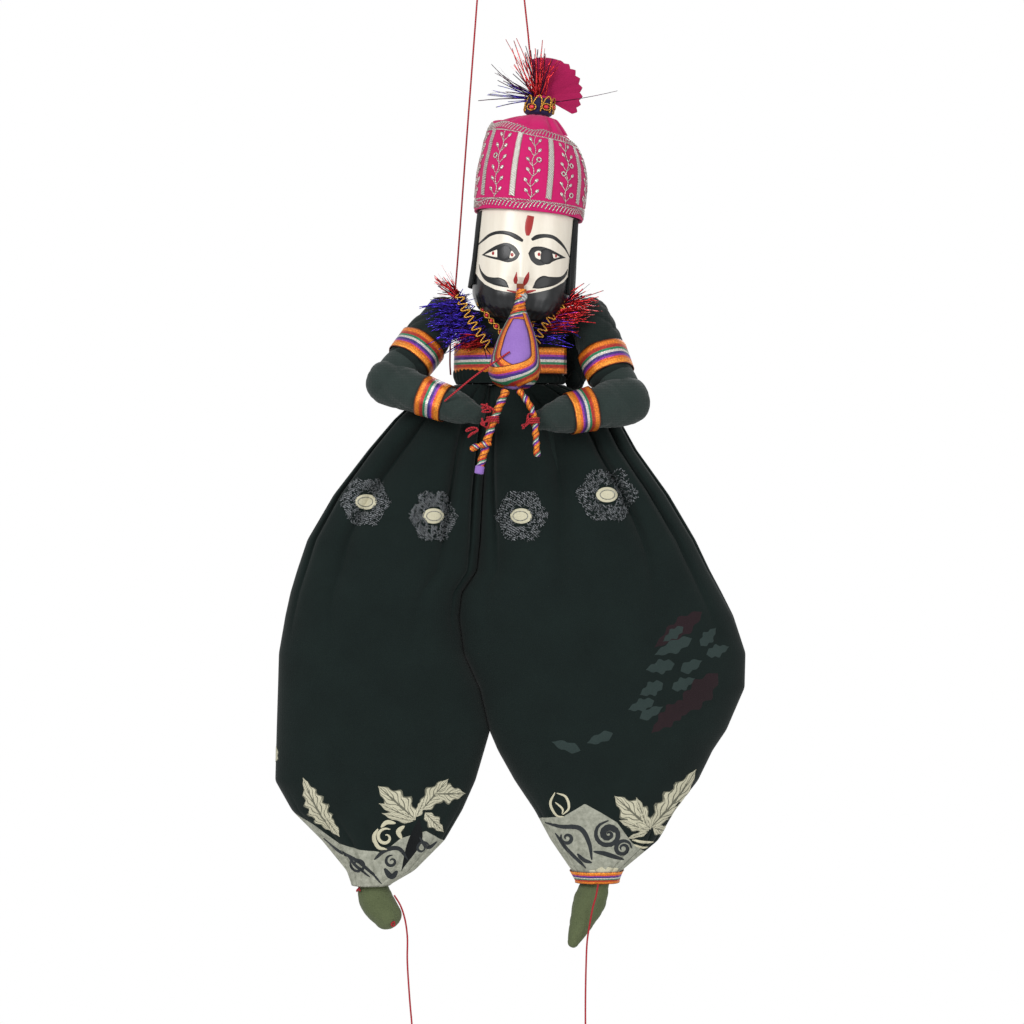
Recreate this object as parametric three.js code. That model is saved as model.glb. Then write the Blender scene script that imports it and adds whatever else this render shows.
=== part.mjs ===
// A Rajasthani string puppet: a turbaned snake charmer who plays a gourd pipe, in wide gathered trousers.
// Millimetres, +Z up, the front looks along -Y, and +X is the puppet's own left.
// Heights are measured from the tip of the lower foot. At the end the whole figure is moved so that the
// origin is the top of the head string's finger loop, from which the puppet hangs.

import * as THREE from 'three';

// ---- Driving dimensions -------------------------------------------------------------------------

const GAP = 0.3; // left between pieces that touch
const CLOTH = 1.4; // wall of a cloth skin
const RIBBON = 0.9; // thickness of the woven ribbon
const RIBBON_WIDTH = 18;
const STRING = 1.2; // diameter of the red control strings

const CHIN = { x: 5.5, z: 429 }; // where the head grows out of the neck
const HEAD_LEAN = 5.5; // degrees towards the puppet's left
const FACE_HALF_WIDTH = 34.5;
const FACE_HALF_DEPTH = 36;
const NOSE = 4.5; // how far the nose stands out
const CAP_FOOT = 75; // turban band, measured up the head from the chin
const CAP_HEIGHT = 59;
const CAP_WALL = 2.6;

const WAIST = 388; // bottom of the carved bust
const NECK_RADIUS = 12;
const HEAD_SIDES = 28; // corners of each ring of the head and turban
const BUST_HALF_WIDTH = 31;
const BUST_HALF_DEPTH = 15;
const BODICE_PADDING = 5; // stuffing and cloth over the carved bust
const TORSO_Y = 3; // the bust stands a little behind the face

const SHOULDER = { right: [-45, 0, 436], left: [54.5, 0, 436] };
const ELBOW = { right: [-84, -26, 388.5], left: [80, -28, 376] };
const HAND = { right: [-23, -46, 366], left: [20.5, -47, 362] };
const SLEEVE_RADIUS = { right: 14.5, left: 14.5 };
const ELBOW_RADIUS = { right: 15.5, left: 17 };
const HAND_RADIUS = { right: 7, left: 7 };

const MOUTH = { x: 7, y: -43, z: 445 }; // the tack that the pipe hangs from
const TACK_RADIUS = 3;
const GOURD_TOP = [6.4, -45.5, 437];
const GOURD_FOOT = [2, -55, 383];
const GOURD_RADIUS = 16.3;
const PIPE_RADIUS = 2.7;

const HIP_Z = 372;
const HIP_X = { right: -32, left: 26 };
const THIGH_RADIUS = 13.5;
const ANKLE = { right: [-96.5, 0, 50], left: [61.3, 0, 50] };
const ANKLE_RADIUS = 8.5;
const TROUSER_FOLD_GAP = 1; // between the two trouser legs at the centre fold

const LOOP_RADIUS = 9;
const LOOP_STRETCH = 1.4;
const KNOT_RADIUS = 1.7;
const COIL_MIDDLE = 7.2; // radius at the middle of a foot string's coil
const COIL_THICKNESS = 4.8;

// ---- Colours ------------------------------------------------------------------------------------

const COLOUR = {
  green: 0x1b2422,
  armGreen: 0x2a3532,
  footGreen: 0x50593f,
  wood: 0xd8cfc2,
  hair: 0x16161a,
  pink: 0xb8255f,
  gold: 0xb5883a,
  foil: 0x7a2a6a,
  ribbon: 0xc8651b,
  purple: 0x8d6bb2,
  steel: 0x8e8e8e,
  string: 0xa01f2a,
};

function cloth(colour) {
  return new THREE.MeshStandardMaterial({ color: colour, roughness: 0.85, metalness: 0 });
}

function shiny(colour) {
  return new THREE.MeshStandardMaterial({ color: colour, roughness: 0.35, metalness: 0.6 });
}

// ---- Closed solids from rings of points ---------------------------------------------------------

// A geometry from a list of points and triangles, turned so that its faces look outward.
function solid(points, triangles) {
  let volume = 0;
  for (const [a, b, c] of triangles) {
    volume += points[a].dot(new THREE.Vector3().crossVectors(points[b], points[c]));
  }
  const facing = volume < 0 ? triangles.map(([a, b, c]) => [a, c, b]) : triangles;
  const geometry = new THREE.BufferGeometry();
  const places = points.flatMap((p) => [p.x, p.y, p.z]);
  geometry.setAttribute('position', new THREE.Float32BufferAttribute(places, 3));
  geometry.setIndex(facing.flat());
  geometry.computeVertexNormals();
  return geometry;
}

// Two triangles for each cell between neighbouring rows of a grid of point numbers.
function gridTriangles(rows, wraps) {
  const triangles = [];
  for (let i = 0; i + 1 < rows.length; i += 1) {
    const count = rows[i].length;
    for (let j = 0; j < (wraps ? count : count - 1); j += 1) {
      const k = (j + 1) % count;
      triangles.push([rows[i][j], rows[i][k], rows[i + 1][k]]);
      triangles.push([rows[i][j], rows[i + 1][k], rows[i + 1][j]]);
    }
  }
  return triangles;
}

// A solid body through a stack of closed rings, capped by a fan at each end.
function loft(rings) {
  const points = rings.flat();
  const count = rings[0].length;
  const rows = rings.map((ring, i) => ring.map((_, j) => i * count + j));
  const triangles = gridTriangles(rows, true);
  for (const [row, ring, turn] of [[rows[0], rings[0], true], [rows.at(-1), rings.at(-1), false]]) {
    const middle = points.length;
    points.push(ring.reduce((sum, p) => sum.add(p), new THREE.Vector3()).divideScalar(count));
    for (let j = 0; j < count; j += 1) {
      const k = (j + 1) % count;
      triangles.push(turn ? [middle, row[k], row[j]] : [middle, row[j], row[k]]);
    }
  }
  return solid(points, triangles);
}

// A skin between an outer and an inner grid of points, closed along its edges.
function skin(outer, inner, wraps) {
  const points = [...outer.flat(), ...inner.flat()];
  const count = outer[0].length;
  const offset = outer.length * count;
  const rows = outer.map((ring, i) => ring.map((_, j) => i * count + j));
  const back = rows.map((row) => row.map((n) => n + offset));
  const triangles = [...gridTriangles(rows, wraps)];
  triangles.push(...gridTriangles([...back].reverse(), wraps));
  const last = rows.length - 1;
  triangles.push(...gridTriangles([back[0], rows[0]], wraps));
  triangles.push(...gridTriangles([rows[last], back[last]], wraps));
  if (!wraps) {
    const column = (grid, j) => grid.map((row) => row[j]);
    triangles.push(...gridTriangles([column(rows, 0), column(back, 0)], false));
    triangles.push(...gridTriangles([column(back, count - 1), column(rows, count - 1)], false));
  }
  return solid(points, triangles);
}

// A level superellipse: centre, half-width along X, half-depth along Y and roundness (2 is an ellipse).
function oval(x, y, z, halfWidth, halfDepth, power = 2, count = 24) {
  return Array.from({ length: count }, (_, i) => {
    const turn = (2 * Math.PI * i) / count;
    const c = Math.cos(turn);
    const s = Math.sin(turn);
    return new THREE.Vector3(
      x + halfWidth * Math.sign(c) * Math.abs(c) ** (2 / power),
      y + halfDepth * Math.sign(s) * Math.abs(s) ** (2 / power),
      z,
    );
  });
}

// Straight-line reading of a table whose rows start with the height.
function readTable(table, height) {
  const up = table.findIndex((row) => row[0] >= height);
  if (up <= 0) return (up === 0 ? table[0] : table.at(-1)).slice(1);
  const [low, high] = [table[up - 1], table[up]];
  const share = (height - low[0]) / (high[0] - low[0]);
  return low.slice(1).map((value, i) => value + share * (high[i + 1] - value));
}

// Evenly spaced values from one number to another, both included.
function spread(from, to, steps) {
  return Array.from({ length: steps + 1 }, (_, i) => from + ((to - from) * i) / steps);
}

function smoothPath(points) {
  return new THREE.CatmullRomCurve3(points.map((p) => new THREE.Vector3(...p)), false, 'centripetal');
}

// A round closed tube along a curve.
function tube(points, radius, sides, steps) {
  const path = smoothPath(points);
  const section = new THREE.Shape();
  for (let i = 0; i < sides; i += 1) {
    const turn = (2 * Math.PI * i) / sides;
    const corner = [radius * Math.cos(turn), radius * Math.sin(turn)];
    if (i === 0) section.moveTo(...corner);
    else section.lineTo(...corner);
  }
  return new THREE.ExtrudeGeometry(section, { steps, extrudePath: path, bevelEnabled: false });
}

// A stuffed limb: rings square to a smooth path, with radii that follow the stations [x, y, z, radius].
class Limb {
  constructor(stations) {
    this.path = smoothPath(stations.map((s) => s.slice(0, 3)));
    this.radii = stations.map((s) => s[3]);
    const start = this.path.getTangent(0);
    this.side = Math.abs(start.y) < 0.9 ? new THREE.Vector3(0, 1, 0) : new THREE.Vector3(1, 0, 0);
  }

  radius(t) {
    const place = t * (this.radii.length - 1);
    const low = Math.min(Math.floor(place), this.radii.length - 2);
    return this.radii[low] + (place - low) * (this.radii[low + 1] - this.radii[low]);
  }

  ring(t, radius, along = 0, count = 14) {
    const direction = this.path.getTangent(t);
    const across = new THREE.Vector3().crossVectors(direction, this.side).normalize();
    const over = new THREE.Vector3().crossVectors(direction, across).normalize();
    const middle = this.path.getPoint(t).addScaledVector(direction, along);
    return Array.from({ length: count }, (_, i) => {
      const turn = (2 * Math.PI * i) / count;
      return middle
        .clone()
        .addScaledVector(across, radius * Math.cos(turn))
        .addScaledVector(over, radius * Math.sin(turn));
    });
  }

  // The limb with a round or flat end at each of its two ends.
  body(roundStart, roundEnd, steps = 6) {
    const bulge = [80, 55, 28];
    const cap = (t, sign) => bulge.map((angle) => {
      const radius = this.radius(t);
      const turn = (angle * Math.PI) / 180;
      return this.ring(t, radius * Math.cos(turn), sign * radius * Math.sin(turn));
    });
    const rings = roundStart ? cap(0, -1) : [];
    for (let i = 0; i <= steps; i += 1) rings.push(this.ring(i / steps, this.radius(i / steps)));
    if (roundEnd) rings.push(...cap(1, 1).reverse());
    return loft(rings);
  }

  // A band wrapped round the limb between two shares of its path.
  band(from, to, thickness, steps = 2) {
    const shares = spread(from, to, steps);
    const inner = shares.map((t) => this.ring(t, this.radius(t) + GAP));
    const outer = shares.map((t) => this.ring(t, this.radius(t) + GAP + thickness));
    return skin(outer, inner, true);
  }
}

function mesh(name, geometry, material) {
  const piece = new THREE.Mesh(geometry, material);
  piece.name = name;
  return piece;
}

const figure = new THREE.Group();

// ---- Head, bust and turban ----------------------------------------------------------------------

// Height up the head, half-width and half-depth of the turban band's outside.
const CAP_PROFILE = [
  [CAP_FOOT, FACE_HALF_WIDTH + 3, FACE_HALF_DEPTH + 3],
  [CAP_FOOT + 0.22 * CAP_HEIGHT, FACE_HALF_WIDTH + 3.7, FACE_HALF_DEPTH + 3.7],
  [CAP_FOOT + 0.45 * CAP_HEIGHT, FACE_HALF_WIDTH + 3.6, FACE_HALF_DEPTH + 3.5],
  [CAP_FOOT + 0.6 * CAP_HEIGHT, FACE_HALF_WIDTH + 2.4, FACE_HALF_DEPTH + 2.4],
  [CAP_FOOT + 0.76 * CAP_HEIGHT, FACE_HALF_WIDTH - 0.2, FACE_HALF_DEPTH],
  [CAP_FOOT + 0.91 * CAP_HEIGHT, FACE_HALF_WIDTH - 4.5, FACE_HALF_DEPTH - 4.5],
  [CAP_FOOT + CAP_HEIGHT, FACE_HALF_WIDTH - 9, FACE_HALF_DEPTH - 9],
];
const CAP_TOP = CAP_FOOT + CAP_HEIGHT;
const CROWN_TOP = CAP_TOP + 24;
const BINDING_FOOT = CAP_TOP + 10;
const BINDING_RADIUS = 6.5;
const BINDING_WALL = 3.2;

// The head's rings below the turban: height, half-width, half-depth, how far the ring sits forward.
const FACE_PROFILE = [
  [3, 0.6 * FACE_HALF_WIDTH, 0.55 * FACE_HALF_DEPTH, 10],
  [9, 0.85 * FACE_HALF_WIDTH, 0.8 * FACE_HALF_DEPTH, 7],
  [17, 0.96 * FACE_HALF_WIDTH, 0.94 * FACE_HALF_DEPTH, 3],
  [28, FACE_HALF_WIDTH, 0.99 * FACE_HALF_DEPTH, 1],
  [CAP_FOOT, FACE_HALF_WIDTH, FACE_HALF_DEPTH, 0],
];

function headGroup() {
  const group = new THREE.Group();
  group.position.set(CHIN.x, 0, CHIN.z);
  group.rotation.y = (HEAD_LEAN * Math.PI) / 180;
  return group;
}

// The nose is a ridge that grows from between the eyes to its tip and is cut back under it.
function nose(height, x) {
  const tip = 30;
  const bridge = 56;
  const fall = height < tip ? (tip - height) / 5 : (height - tip) / (bridge - tip);
  return NOSE * Math.max(0, 1 - fall) * Math.exp(-((x / 6) ** 2));
}

// The bust leans over towards the chin above the chest.
function torsoLean(z) {
  const start = CHIN.z - 15;
  return (CHIN.x * Math.max(0, z - start)) / (CHIN.z - start);
}

function carvedHead() {
  const lean = new THREE.Matrix4().makeRotationY((HEAD_LEAN * Math.PI) / 180);
  lean.setPosition(CHIN.x, 0, CHIN.z);
  const bust = [
    [WAIST, 0.8 * BUST_HALF_WIDTH, 0.75 * BUST_HALF_DEPTH],
    [WAIST + 3, 0.96 * BUST_HALF_WIDTH, 0.93 * BUST_HALF_DEPTH],
    [WAIST + 12, BUST_HALF_WIDTH, BUST_HALF_DEPTH],
    [CHIN.z - 15, BUST_HALF_WIDTH, BUST_HALF_DEPTH],
    [CHIN.z - 8, 0.85 * BUST_HALF_WIDTH, 0.95 * BUST_HALF_DEPTH],
    [CHIN.z - 5, 1.1 * NECK_RADIUS, NECK_RADIUS],
    [CHIN.z, NECK_RADIUS, 0.9 * NECK_RADIUS],
  ];
  const rings = bust.map(([z, a, b]) => oval(torsoLean(z), TORSO_Y, z, a, b, 2.4, HEAD_SIDES));
  const heights = [3, 9, 17, 24, 28, 30, 35, 42, 50, 58, CAP_FOOT];
  for (const h of heights) {
    const [a, b, forward] = readTable(FACE_PROFILE, h);
    const ring = oval(0, -forward, h, a, b, 2.3, HEAD_SIDES);
    for (const p of ring) {
      if (p.y < 0) p.y -= nose(h, p.x);
    }
    rings.push(ring.map((p) => p.applyMatrix4(lean)));
  }
  for (let h = CAP_FOOT + 8; h < CAP_TOP - 2; h += 9) {
    const [a, b] = readTable(CAP_PROFILE, h);
    const inset = CAP_WALL + GAP;
    rings.push(oval(0, 0, h, a - inset, b - inset, 2.3, HEAD_SIDES).map((p) => p.applyMatrix4(lean)));
  }
  rings.push(oval(0, 0, CAP_TOP - 1, 12, 12, 2.3, HEAD_SIDES).map((p) => p.applyMatrix4(lean)));
  return mesh('carved_head', loft(rings), cloth(COLOUR.wood));
}

function turbanBand() {
  const steps = 8;
  const heights = spread(CAP_FOOT + GAP, CAP_TOP, steps);
  const wall = (inset) => heights.map((h) => {
    const [a, b] = readTable(CAP_PROFILE, h);
    return oval(0, 0, h, a - inset, b - inset, 2.3, HEAD_SIDES);
  });
  return mesh('turban_band', skin(wall(0), wall(CAP_WALL - GAP), true), cloth(COLOUR.pink));
}

// The plain cloth above the band, drawn in to a bound neck.
function turbanCrown() {
  const [a, b] = readTable(CAP_PROFILE, CAP_TOP);
  const shape = [[GAP, 1], [3, 0.95], [6, 0.8], [8.5, 0.5]];
  const rings = shape.map(([rise, share]) => oval(0, 0, CAP_TOP + rise, share * a, share * b, 2.2));
  rings.push(oval(0, 0, BINDING_FOOT, BINDING_RADIUS, BINDING_RADIUS));
  rings.push(oval(0, 0, CROWN_TOP, BINDING_RADIUS, BINDING_RADIUS));
  return mesh('turban_crown', loft(rings), cloth(COLOUR.pink));
}

function tuftBinding() {
  const heights = [BINDING_FOOT + 1, BINDING_FOOT + 13];
  const wall = (radius) => heights.map((h) => oval(0, 0, h, radius, radius));
  const inside = BINDING_RADIUS + GAP;
  return mesh('tuft_binding', skin(wall(inside + BINDING_WALL), wall(inside), true), shiny(COLOUR.gold));
}

// A flat star of points round (0, 0): tips [angle in degrees, length] joined near the middle.
function burst(tips, rootRadius) {
  const shape = new THREE.Shape();
  tips.forEach(([angle, length], i) => {
    const next = tips[(i + 1) % tips.length][0] + (i + 1 === tips.length ? 360 : 0);
    const tip = (angle * Math.PI) / 180;
    const root = ((angle + next) / 2 / 180) * Math.PI;
    if (i === 0) shape.moveTo(length * Math.cos(tip), length * Math.sin(tip));
    else shape.lineTo(length * Math.cos(tip), length * Math.sin(tip));
    shape.lineTo(rootRadius * Math.cos(root), rootRadius * Math.sin(root));
  });
  shape.closePath();
  return shape;
}

function uprightPlate(shape, thickness, y) {
  const geometry = new THREE.ExtrudeGeometry(shape, { depth: thickness, bevelEnabled: false });
  geometry.rotateX(Math.PI / 2);
  geometry.translate(0, y, 0);
  return geometry;
}

// The pinked end of the turban cloth, spread like a fan over the binding.
function turbanFan() {
  const shape = new THREE.Shape();
  const [from, to, teeth] = [-5, 96, 9];
  shape.moveTo(0, 0);
  for (let i = 0; i <= 2 * teeth; i += 1) {
    const turn = ((from + ((to - from) * i) / (2 * teeth)) * Math.PI) / 180;
    const radius = i % 2 ? 29 : 25;
    shape.lineTo(radius * Math.cos(turn), radius * Math.sin(turn));
  }
  shape.closePath();
  const piece = mesh('turban_fan', uprightPlate(shape, 2, 3), cloth(COLOUR.pink));
  piece.position.z = CROWN_TOP + 1 + GAP;
  return piece;
}

function tuftTinsel() {
  const spray = [
    [20, 22], [48, 30], [72, 33], [88, 35], [104, 33], [122, 34], [140, 31], [160, 38], [182, 36],
  ];
  const loneWire = [-4, 50];
  const root = [[230, 6], [310, 6]];
  const plate = uprightPlate(burst([loneWire, ...spray, ...root], 5), 1.4, 1 - BINDING_RADIUS);
  const piece = mesh('tuft_tinsel', plate, shiny(COLOUR.foil));
  piece.position.z = CROWN_TOP + GAP + 5;
  return piece;
}

// Black cloth that hangs as hair behind the face, open at the front.
function hairHood() {
  const [foot, top] = [24, CAP_FOOT - GAP];
  const [from, to, steps] = [-52, 232, 20];
  const wall = (out) => [foot, foot + 18, foot + 34, top].map((h) => {
    const flare = 2.5 * (1 - (h - foot) / (top - foot));
    return spread(from, to, steps).map((angle) => {
      const turn = (angle * Math.PI) / 180;
      const [c, s] = [Math.cos(turn), Math.sin(turn)];
      const power = 2 / 2.3;
      return new THREE.Vector3(
        (FACE_HALF_WIDTH + out + flare) * Math.sign(c) * Math.abs(c) ** power,
        (FACE_HALF_DEPTH + out + flare) * Math.sign(s) * Math.abs(s) ** power,
        h,
      );
    });
  });
  return mesh('hair_hood', skin(wall(GAP + 2), wall(GAP + 0.2), false), cloth(COLOUR.hair));
}

const head = headGroup();
head.add(turbanBand(), turbanCrown(), tuftBinding(), turbanFan(), tuftTinsel(), hairHood());
figure.add(carvedHead(), head);

// ---- Bodice, ribbon, garlands -------------------------------------------------------------------

// Height, half-width and half-depth of the padded bodice's outside.
const BODICE_PROFILE = [
  [WAIST + GAP, BUST_HALF_WIDTH + BODICE_PADDING, BUST_HALF_DEPTH + BODICE_PADDING],
  [WAIST + 12, BUST_HALF_WIDTH + 1.3 * BODICE_PADDING, BUST_HALF_DEPTH + 1.2 * BODICE_PADDING],
  [CHIN.z - 15, BUST_HALF_WIDTH + 1.2 * BODICE_PADDING, BUST_HALF_DEPTH + 1.2 * BODICE_PADDING],
  [CHIN.z - 6, BUST_HALF_WIDTH + 0.6 * BODICE_PADDING, BUST_HALF_DEPTH + 0.8 * BODICE_PADDING],
  [CHIN.z - 3, 0.85 * BUST_HALF_WIDTH, BUST_HALF_DEPTH],
];

function torsoRing(z, out) {
  const [a, b] = readTable(BODICE_PROFILE, z);
  return oval(torsoLean(z), TORSO_Y, z, a + out, b + out, 2.4);
}

function bodice() {
  const heights = BODICE_PROFILE.map(([z]) => z);
  const outer = heights.map((z) => torsoRing(z, 0));
  const bustInside = [0.96, 1, 1, 0.88, 0];
  const inner = heights.map((z, i) => {
    const clear = GAP + 0.4;
    const a = i === 4 ? 1.1 * NECK_RADIUS + 3 * clear : bustInside[i] * BUST_HALF_WIDTH + clear;
    const b = i === 4 ? NECK_RADIUS + clear : bustInside[i] * BUST_HALF_DEPTH + clear;
    return oval(torsoLean(z), TORSO_Y, z, a, b, 2.4);
  });
  return mesh('bodice', skin(outer, inner, true), cloth(COLOUR.green));
}

function torsoBelt(name, foot, width, thickness, material) {
  const corners = BODICE_PROFILE.map(([z]) => z).filter((z) => z > foot && z < foot + width);
  const heights = [foot, ...corners, foot + width];
  const belt = (out) => heights.map((z) => torsoRing(z, out));
  return mesh(name, skin(belt(GAP + thickness), belt(GAP), true), material);
}

const CHEST_FRONT = TORSO_Y - BODICE_PROFILE[2][2];
// Three strips lie down each side of the chest: a bead chain, a gold braid and the tinsel fringe outside it.
// Their Y is measured from the chest's front.
const NECKLACE = {
  right: {
    bead_chain: [[-21, 4.6, 429.5], [-17, 0.8, 423], [-9, -1.5, 415]],
    braid: [[-26, 5, 428.5], [-21, -0.6, 421.5], [-13.5, -2.7, 413]],
    garland: [[-39.6, 6.2, 449], [-33.6, 1, 436], [-28, 1.2, 418.5]],
  },
  left: {
    bead_chain: [[28, 5.8, 427.5], [21.5, 1.4, 421], [13, -1.5, 415]],
    braid: [[34, 6, 427.5], [27.5, 0.2, 420.5], [18, -2.7, 413]],
    garland: [[47.6, 5, 446.5], [42.6, 0.6, 435.5], [34, 1.2, 418.5]],
  },
};
const STRIP = {
  bead_chain: { radius: 1.2, colour: COLOUR.gold },
  braid: { radius: 2.2, colour: COLOUR.gold },
  garland: { radius: 3.6, colour: COLOUR.foil },
};

function necklaces() {
  return ['right', 'left'].flatMap((side) => Object.entries(STRIP).map(([kind, { radius, colour }]) => mesh(
    `${kind}_${side}`,
    tube(NECKLACE[side][kind].map(([x, y, z]) => [x, CHEST_FRONT + y, z]), radius, 8, 8),
    shiny(colour),
  )));
}

const RIBBON_FOOT = WAIST + 7.5;
figure.add(
  bodice(),
  torsoBelt('chest_ribbon', RIBBON_FOOT, RIBBON_WIDTH - 1, RIBBON, shiny(COLOUR.ribbon)),
  torsoBelt('waist_tie', WAIST + 1, 4.5, 1.6, cloth(COLOUR.green)),
  ...necklaces(),
);

// ---- Pipe ---------------------------------------------------------------------------------------

function mouthPieces() {
  const tab = new THREE.BoxGeometry(5, 1, 13);
  tab.translate(MOUTH.x, -FACE_HALF_DEPTH - 4, MOUTH.z + 3);
  const tack = new THREE.CylinderGeometry(TACK_RADIUS, 0.8 * TACK_RADIUS, 1.4, 20);
  tack.translate(MOUTH.x, MOUTH.y + 1.1, MOUTH.z);
  return [mesh('mouth_tab', tab, shiny(COLOUR.ribbon)), mesh('mouth_tack', tack, shiny(COLOUR.steel))];
}

// The gourd's outline from its top to its foot: share of its length, share of its largest radius.
const GOURD_PROFILE = [
  [0, 0.18], [0.06, 0.24], [0.16, 0.34], [0.3, 0.55], [0.45, 0.76], [0.6, 0.92],
  [0.74, 1], [0.84, 0.97], [0.92, 0.82], [0.97, 0.58], [1, 0.3],
];

// Places a piece that was turned about +Y (downwards from its top) along the line between two points.
function alongLine(piece, from, to) {
  const [start, end] = [new THREE.Vector3(...from), new THREE.Vector3(...to)];
  piece.position.copy(start);
  piece.quaternion.setFromUnitVectors(new THREE.Vector3(0, 1, 0), end.clone().sub(start).normalize());
  return piece;
}

function gourd() {
  const length = new THREE.Vector3(...GOURD_TOP).distanceTo(new THREE.Vector3(...GOURD_FOOT));
  const outline = [
    new THREE.Vector2(0, 0),
    ...GOURD_PROFILE.map(([along, share]) => new THREE.Vector2(share * GOURD_RADIUS, along * length)),
    new THREE.Vector2(0, length),
  ];
  const piece = mesh('gourd', new THREE.LatheGeometry(outline, 20), cloth(COLOUR.purple));
  return alongLine(piece, GOURD_TOP, GOURD_FOOT);
}

// Ribbon wound round the gourd's wide foot.
function gourdRibbon() {
  const length = new THREE.Vector3(...GOURD_TOP).distanceTo(new THREE.Vector3(...GOURD_FOOT));
  const rows = GOURD_PROFILE.filter(([along]) => along >= 0.74 && along <= 0.97);
  const at = (out) => rows.map(([along, share]) => (
    new THREE.Vector2(share * GOURD_RADIUS + out, along * length)
  ));
  const outline = [...at(GAP + RIBBON), ...at(GAP).reverse()];
  outline.push(outline[0].clone());
  const piece = mesh('gourd_ribbon', new THREE.LatheGeometry(outline, 20), shiny(COLOUR.ribbon));
  return alongLine(piece, GOURD_TOP, GOURD_FOOT);
}

const PIPE = {
  right: [[-2.5, -57.5, 380.5], [-11.5, -60.5, 360], [-20.4, -62, 328.5]],
  left: [[6, -57, 381], [14.8, -60, 368], [18.4, -60, 337]],
};

function pipes() {
  return ['right', 'left'].map((side) => mesh(
    `pipe_${side}`,
    tube(PIPE[side], side === 'right' ? PIPE_RADIUS : 0.8 * PIPE_RADIUS, 8, 8),
    shiny(COLOUR.ribbon),
  ));
}

// A short stick tied across the front of the long pipe.
function pipeTwig() {
  const [radius, length] = [1.5, 15];
  const twig = new THREE.CylinderGeometry(radius, radius, length, 10);
  twig.translate(0, length / 2, 0);
  const front = PIPE.right[1][1] - 1 - PIPE_RADIUS - radius - GAP;
  const piece = mesh('pipe_twig', twig, shiny(COLOUR.ribbon));
  return alongLine(piece, [-24.5, front, 341.5], [-10.7, front, 347]);
}

// Thread wound round each pipe where the hand is tied to it.
function handTies() {
  const place = { right: [-11.1, -60.3, 361.5], left: [16, -60, 362] };
  const slope = { right: 0.42, left: -0.26 };
  return ['right', 'left'].map((side) => {
    const inside = (side === 'right' ? PIPE_RADIUS : 0.8 * PIPE_RADIUS) + 2.5 * GAP;
    const outside = inside + STRING;
    const wound = [[inside, -2.5], [outside, -2.5], [outside, 2.5], [inside, 2.5], [inside, -2.5]];
    const ring = new THREE.LatheGeometry(wound.map((p) => new THREE.Vector2(...p)), 16);
    const piece = mesh(`hand_tie_${side}`, ring, cloth(COLOUR.string));
    piece.position.set(...place[side]);
    piece.quaternion.setFromUnitVectors(
      new THREE.Vector3(0, 1, 0),
      new THREE.Vector3(slope[side], 0.1, 1).normalize(),
    );
    return piece;
  });
}

function pungiNeck() {
  const [top, foot] = [new THREE.Vector3(...GOURD_TOP), new THREE.Vector3(...GOURD_FOOT)];
  const up = top.clone().sub(foot).normalize();
  const low = top.clone().addScaledVector(up, GAP);
  const high = top.clone().addScaledVector(up, (MOUTH.z - TACK_RADIUS - GAP - top.z) / up.z);
  const neck = new Limb([[...high.toArray(), 2.4], [...low.toArray(), 2.6]]);
  return mesh('pungi_neck', neck.body(false, false, 2), shiny(COLOUR.ribbon));
}

figure.add(...mouthPieces(), pungiNeck(), gourd(), gourdRibbon(), ...pipes(), pipeTwig(), ...handTies());

// ---- Arms ---------------------------------------------------------------------------------------

function between(from, to, share) {
  return from.map((value, i) => value + share * (to[i] - value));
}

for (const side of ['right', 'left']) {
  const [shoulder, elbow, hand] = [SHOULDER[side], ELBOW[side], HAND[side]];
  const sleeveEnd = between(shoulder, elbow, 0.68);
  const sleeve = new Limb([
    [...shoulder, 0.96 * SLEEVE_RADIUS[side]],
    [...between(shoulder, elbow, 0.25), 1.06 * SLEEVE_RADIUS[side]],
    [...sleeveEnd, 0.9 * SLEEVE_RADIUS[side]],
  ]);
  const forearm = new Limb([
    [...elbow, ELBOW_RADIUS[side]],
    [...between(elbow, hand, 0.5), 0.8 * ELBOW_RADIUS[side]],
    [...hand, HAND_RADIUS[side]],
  ]);
  figure.add(
    mesh(`upper_arm_${side}`, sleeve.body(true, false), cloth(COLOUR.green)),
    mesh(`arm_band_${side}`, sleeve.band(0.66, 0.98, RIBBON), shiny(COLOUR.ribbon)),
    mesh(`forearm_${side}`, forearm.body(true, true), cloth(COLOUR.armGreen)),
    mesh(`wrist_band_${side}`, forearm.band(0.42, 0.68, RIBBON), shiny(COLOUR.ribbon)),
  );
}

// A thread from the right wrist's ribbon to the gourd, which it meets in front of the gourd's side.
const GOURD_SIDE_Y = -48.4;
const HAND_THREAD = [
  [-44, -53.2, 374.5],
  [-22, GOURD_SIDE_Y - 1.2 * GOURD_RADIUS + 6.46, 392],
  [-7.2, GOURD_SIDE_Y - GOURD_RADIUS, 404.3],
];
figure.add(mesh('hand_thread', tube(HAND_THREAD, STRING / 2, 6, 8), cloth(COLOUR.string)));

// ---- Trousers, legs and feet --------------------------------------------------------------------

// The centre fold where the two trouser legs meet: height, X.
const FOLD = [
  [150, -13.3], [179, -20.2], [203, -31.2], [229, -34.7], [245, -32.5], [260, -22], [295, -19],
  [330, -16.5], [WAIST, -13.5],
];
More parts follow.
